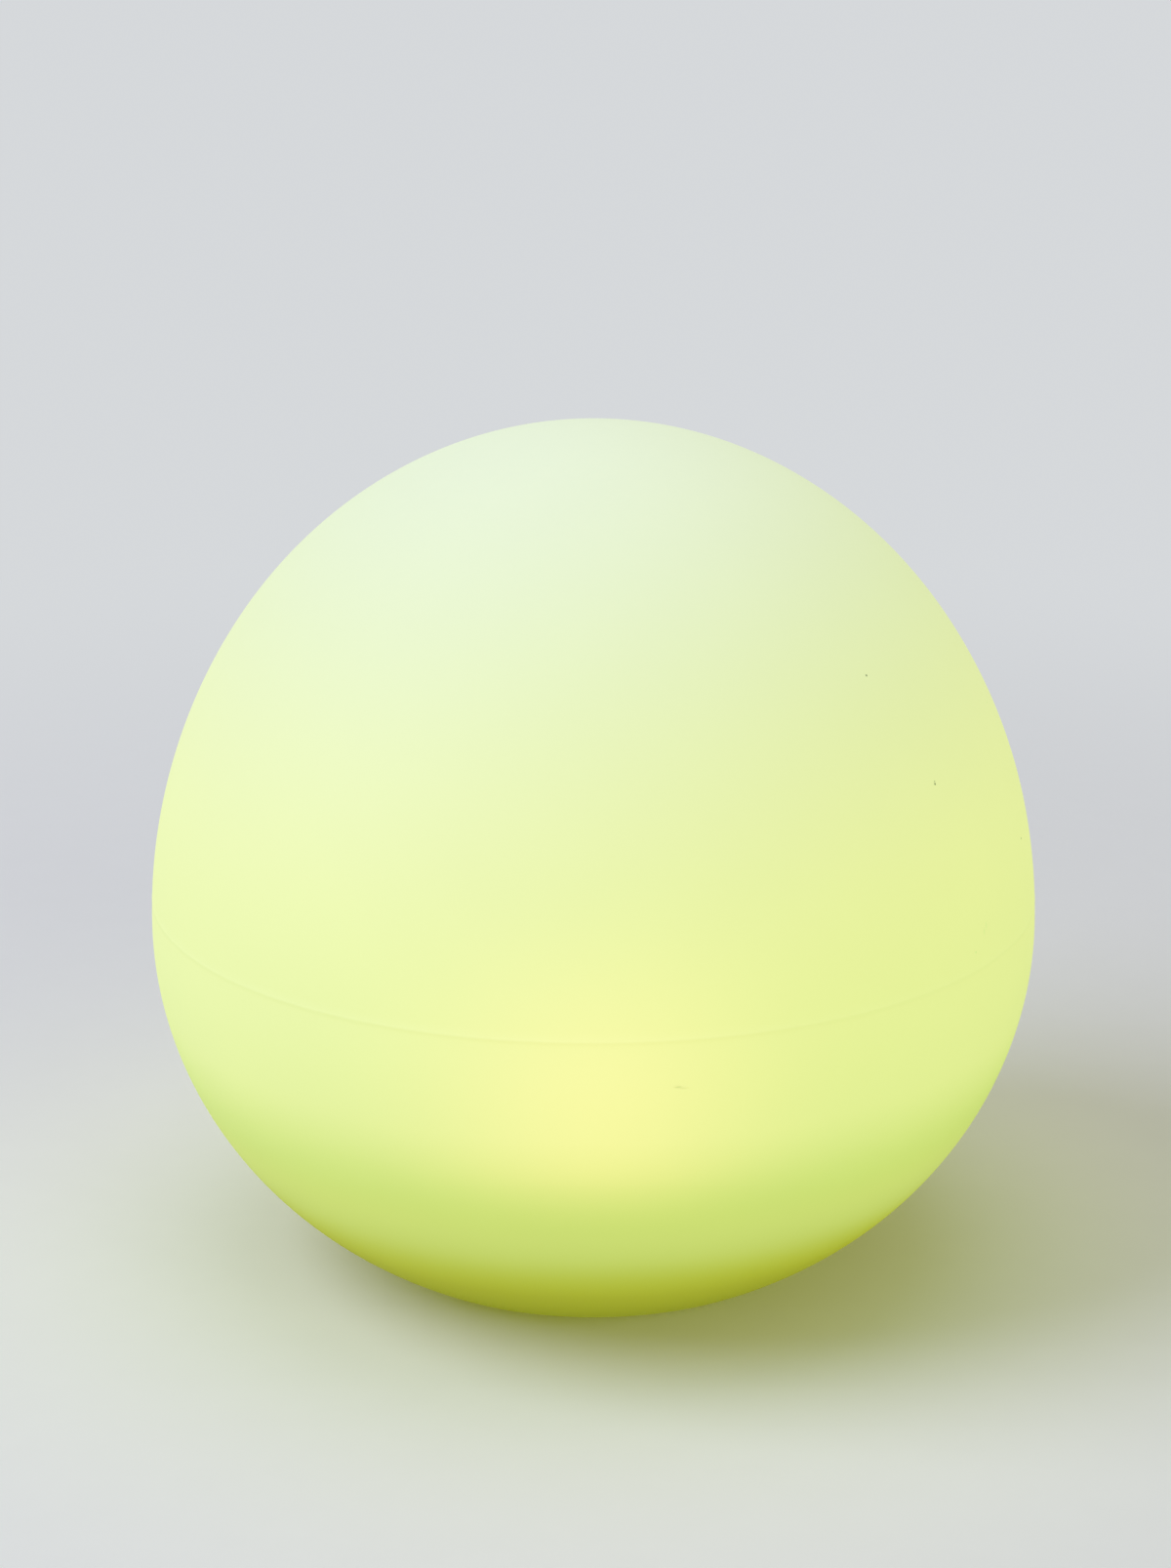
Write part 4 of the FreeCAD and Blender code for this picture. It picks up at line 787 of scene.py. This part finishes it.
def lacquered_board(name, lacquer, track, roughness):
    """A board's lacquer over copper: the joints of two walls of bricks give the tracks along X and Y, the
    middles of scattered cells the dots, and a check the cloth."""
    made, tree, shader = material(name)
    place = object_place(tree)
    choice = noise(tree, place, 55.0, 1.0)
    tracks = 0.0
    for turn, low, high in walls:
        turned = add(tree, "ShaderNodeMapping", {"Vector": place, "Rotation": (0.0, 0.0, turn)})
        bricks = add(tree, "ShaderNodeTexBrick", {
            "Vector": turned.outputs["Vector"], "Scale": 110.0, "Mortar Size": 0.022, "Mortar Smooth": 0.1,
            "Brick Width": 0.85, "Row Height": 0.12}, offset=0.37, offset_frequency=3)
        shown = product(tree, bricks.outputs["Fac"], ramped(tree, choice, low, high))
        tracks = maths(tree, "MAXIMUM", tracks, shown)
    holes = add(tree, "ShaderNodeTexVoronoi", {"Vector": place, "Scale": 230.0}, feature="F1")
    dots = ramped(tree, holes.outputs["Distance"], 0.10, 0.13, 1.0, 0.0)
    tracks = maths(tree, "MAXIMUM", tracks, dots)
    cloth = add(tree, "ShaderNodeTexChecker", {"Vector": place, "Scale": 2400.0})
    grain = placed(tree, grain_group, {"Grain Scale": 2500.0, "Patch Scale": 60.0})
    deeper = [c * 0.82 for c in lacquer]
    shade = mixed(tree, grain["Patches"], colour(*lacquer), colour(*deeper))
    join(tree, mixed(tree, tracks, shade, colour(*track)), shader.inputs["Base Color"])
    join(tree, varied(tree, grain["Grain"], roughness - 0.05, roughness + 0.07), shader.inputs["Roughness"])
    height = maths(tree, "MULTIPLY_ADD", cloth.outputs["Fac"], cloth_height, tracks)
    relief(tree, shader, height, 0.25, 0.0001)
    return made


finishes["green_board"] = lacquered_board("green_board", (0.012, 0.12, 0.045), (0.035, 0.22, 0.085), 0.30)
finishes["white_board"] = lacquered_board("white_board", (0.74, 0.75, 0.73), (0.80, 0.81, 0.79), 0.36)
print(len(finishes), "finishes so far")

# %% Lamps
cup_edge, cup_floor = 0.0001, 0.0002        # below a lamp's top the cup begins, and is all cup, in metres
led_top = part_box("led_chips")[1][2]
ceramic, tree, shader = material("led_ceramic")
place = add(tree, "ShaderNodeTexCoord").outputs
height = add(tree, "ShaderNodeSeparateXYZ", {"Vector": place["Object"]}).outputs["Z"]
upwards = add(tree, "ShaderNodeSeparateXYZ", {"Vector": place["Normal"]}).outputs["Z"]
in_cup = product(tree, ramped(tree, upwards, 0.3, 0.6),
                 ramped(tree, height, led_top - cup_floor, led_top - cup_edge, 1.0, 0.0))
grain = placed(tree, grain_group, {"Grain Scale": 4000.0, "Patch Scale": 300.0})
pale = mixed(tree, grain["Patches"], colour(0.74, 0.73, 0.70), colour(0.80, 0.79, 0.76))
join(tree, mixed(tree, in_cup, pale, colour(0.80, 0.66, 0.16)), shader.inputs["Base Color"])
join(tree, mixed(tree, in_cup, black, colour(0.85, 1.0, 0.30)), shader.inputs["Emission Color"])
shader.inputs["Emission Strength"].default_value = 0.9
join(tree, varied(tree, grain["Grain"], 0.40, 0.55), shader.inputs["Roughness"])
finishes["led_ceramic"] = ceramic
print(len(finishes), "finishes so far")

# %% The clear cover
clear, tree, shader = material("clear_polycarbonate")
grain = placed(tree, grain_group, {"Grain Scale": 1200.0, "Patch Scale": 40.0})
scuffs = placed(tree, scuff_group, {"Scale": 60.0, "Amount": 0.2})
tint = mixed(tree, grain["Patches"], colour(0.92, 0.94, 0.94), colour(0.88, 0.91, 0.92))
frost = maths(tree, "ADD", varied(tree, grain["Grain"], 0.16, 0.24), scuffs["Scuffs"])
join(tree, tint, shader.inputs["Base Color"])
join(tree, frost, shader.inputs["Roughness"])
shader.inputs["Transmission Weight"].default_value = 0.9
shader.inputs["IOR"].default_value = 1.58
finishes["clear_polycarbonate"] = clear
print(len(finishes), "finishes in all")

# %% [markdown]
# ## Give every solid its finish
#
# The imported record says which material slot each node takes, so one pass over the record dresses all of
# them. A slot without a finish would stop here, which is better than a grey part that nobody notices.

# %% Dress the nodes by the record
slot_of = {row["node"]: row["material_slot"] for row in frame["record"]["subparts"]}
for name, node in nodes.items():
    for mesh_slot in node.material_slots:
        mesh_slot.material = finishes[slot_of[name]]
print("dressed", len(nodes), "nodes with", len(set(slot_of.values())), "finishes")

# %% [markdown]
# ## Studio
#
# The floor is plain and pale and keeps the light's shadow. To the camera it fades into a backdrop of the
# same tone, so there is no horizon. For other rays the floor is darker, so that it doesn't throw white
# light up into the bowl. It is see-through from below, and lets a lamp's rays through, so the underside can
# be looked at. One large lamp from the upper left stands for the open sky, softer ones hang overhead and to
# the right, and a narrow lamp under the floor shows the underside without touching the bowl.

# %% The floor
backdrop = colour(0.67, 0.69, 0.71)
floor_radius, floor_steps = 30.0, 96
fade_from, fade_to = 0.2, 0.8               # distances from the light, in metres


def rays_that_show(tree):
    """One for the rays that bring a picture, from the camera, a gloss or glass, and zero for the others."""
    rays = add(tree, "ShaderNodeLightPath").outputs
    return maths(tree, "MAXIMUM", rays["Is Camera Ray"], maths(
        tree, "MAXIMUM", rays["Is Glossy Ray"], rays["Is Transmission Ray"]))


around = whole_turn(floor_steps)
floor_points = np.stack([
    floor_radius * np.cos(around), floor_radius * np.sin(around), np.zeros(floor_steps)], axis=1)
floor_mesh = bpy.data.meshes.new("floor")
floor_mesh.from_pydata(floor_points.tolist(), [], [list(range(floor_steps))])
floor = bpy.data.objects.new("floor", floor_mesh)
bpy.context.scene.collection.objects.link(floor)

floor_finish = bpy.data.materials.new("floor")
floor_finish.use_nodes = True
floor_finish.cycles.emission_sampling = "NONE"
tree = floor_finish.node_tree
tree.nodes.clear()
place = object_place(tree)
seen = rays_that_show(tree)
pale = mixed(tree, noise(tree, place, 60.0, 4.0), colour(0.96, 0.92, 0.86), colour(0.98, 0.94, 0.88))
diffuse = add(tree, "ShaderNodeBsdfDiffuse", {"Color": mixed(tree, seen, colour(0.30, 0.32, 0.22), pale)})
fading = product(tree, ramped(tree, length(tree, place), fade_from, fade_to, smooth=True), seen)
plain = add(tree, "ShaderNodeEmission", {"Color": backdrop, "Strength": 1.0})
above = add(tree, "ShaderNodeMixShader", {0: fading, 1: diffuse.outputs[0], 2: plain.outputs[0]})
clearing = add(tree, "ShaderNodeBsdfTransparent")
from_below = add(tree, "ShaderNodeNewGeometry").outputs["Backfacing"]
from_lamps = add(tree, "ShaderNodeLightPath").outputs["Is Shadow Ray"]
sided = add(tree, "ShaderNodeMixShader", {
    0: maths(tree, "MAXIMUM", from_below, from_lamps), 1: above.outputs[0], 2: clearing.outputs[0]})
add(tree, "ShaderNodeOutputMaterial", {"Surface": sided.outputs[0]})
floor_mesh.materials.append(floor_finish)
print("floor reaches", floor_radius, "m")

# %% The world
world = bpy.data.worlds.new("studio")
bpy.context.scene.world = world
world.use_nodes = True
tree = world.node_tree
tree.nodes.clear()
ambient = add(tree, "ShaderNodeBackground", {"Color": colour(0.93, 0.97, 1.0), "Strength": 0.24})
behind = add(tree, "ShaderNodeBackground", {"Color": backdrop, "Strength": 1.0})
chosen = add(tree, "ShaderNodeMixShader", {
    0: rays_that_show(tree), 1: ambient.outputs[0], 2: behind.outputs[0]})
add(tree, "ShaderNodeOutputWorld", {"Surface": chosen.outputs[0]})
print("world", world.name)

# %% The lamps
def lamp(name, kind, position, target, power, tint, size):
    """A lamp at a position that faces a target, in metres; power is in watts."""
    data = bpy.data.lights.new(name, kind)
    data.energy = power
    data.color = tint
    if kind == "AREA":
        data.shape = "DISK"
        data.size = size
    else:
        data.shadow_soft_size = size
    made = bpy.data.objects.new(name, data)
    made.location = position
    made.rotation_mode = "QUATERNION"
    made.rotation_quaternion = (Vector(target) - Vector(position)).to_track_quat("-Z", "Y")
    bpy.context.scene.collection.objects.link(made)
    return made


middle, base = (0.0, 0.0, 0.12), (0.0, 0.0, 0.0)
lit_radius, lit_from = 0.060, 0.9           # the circle lit on the underside, and how far its lamp is
lamp("sky_lamp", "AREA", (-1.95, -0.6, 1.95), middle, 48.0, (0.68, 0.75, 1.0), 2.2)
lamp("overhead_lamp", "AREA", (0.1, 0.2, 2.4), middle, 9.5, (0.98, 1.0, 1.0), 2.0)
lamp("right_lamp", "AREA", (1.5, -1.9, 0.9), middle, 9.0, (0.92, 1.0, 0.9), 1.4)
under = lamp("underside_lamp", "SPOT", (0.24, -0.32, -0.82), base, 30.0, (1.0, 0.99, 0.97), 0.05)
under.data.spot_size = 2 * math.atan(lit_radius / lit_from)
under.data.spot_blend = 0.25
print("four lamps, the lowest %.1f degrees wide" % math.degrees(under.data.spot_size))
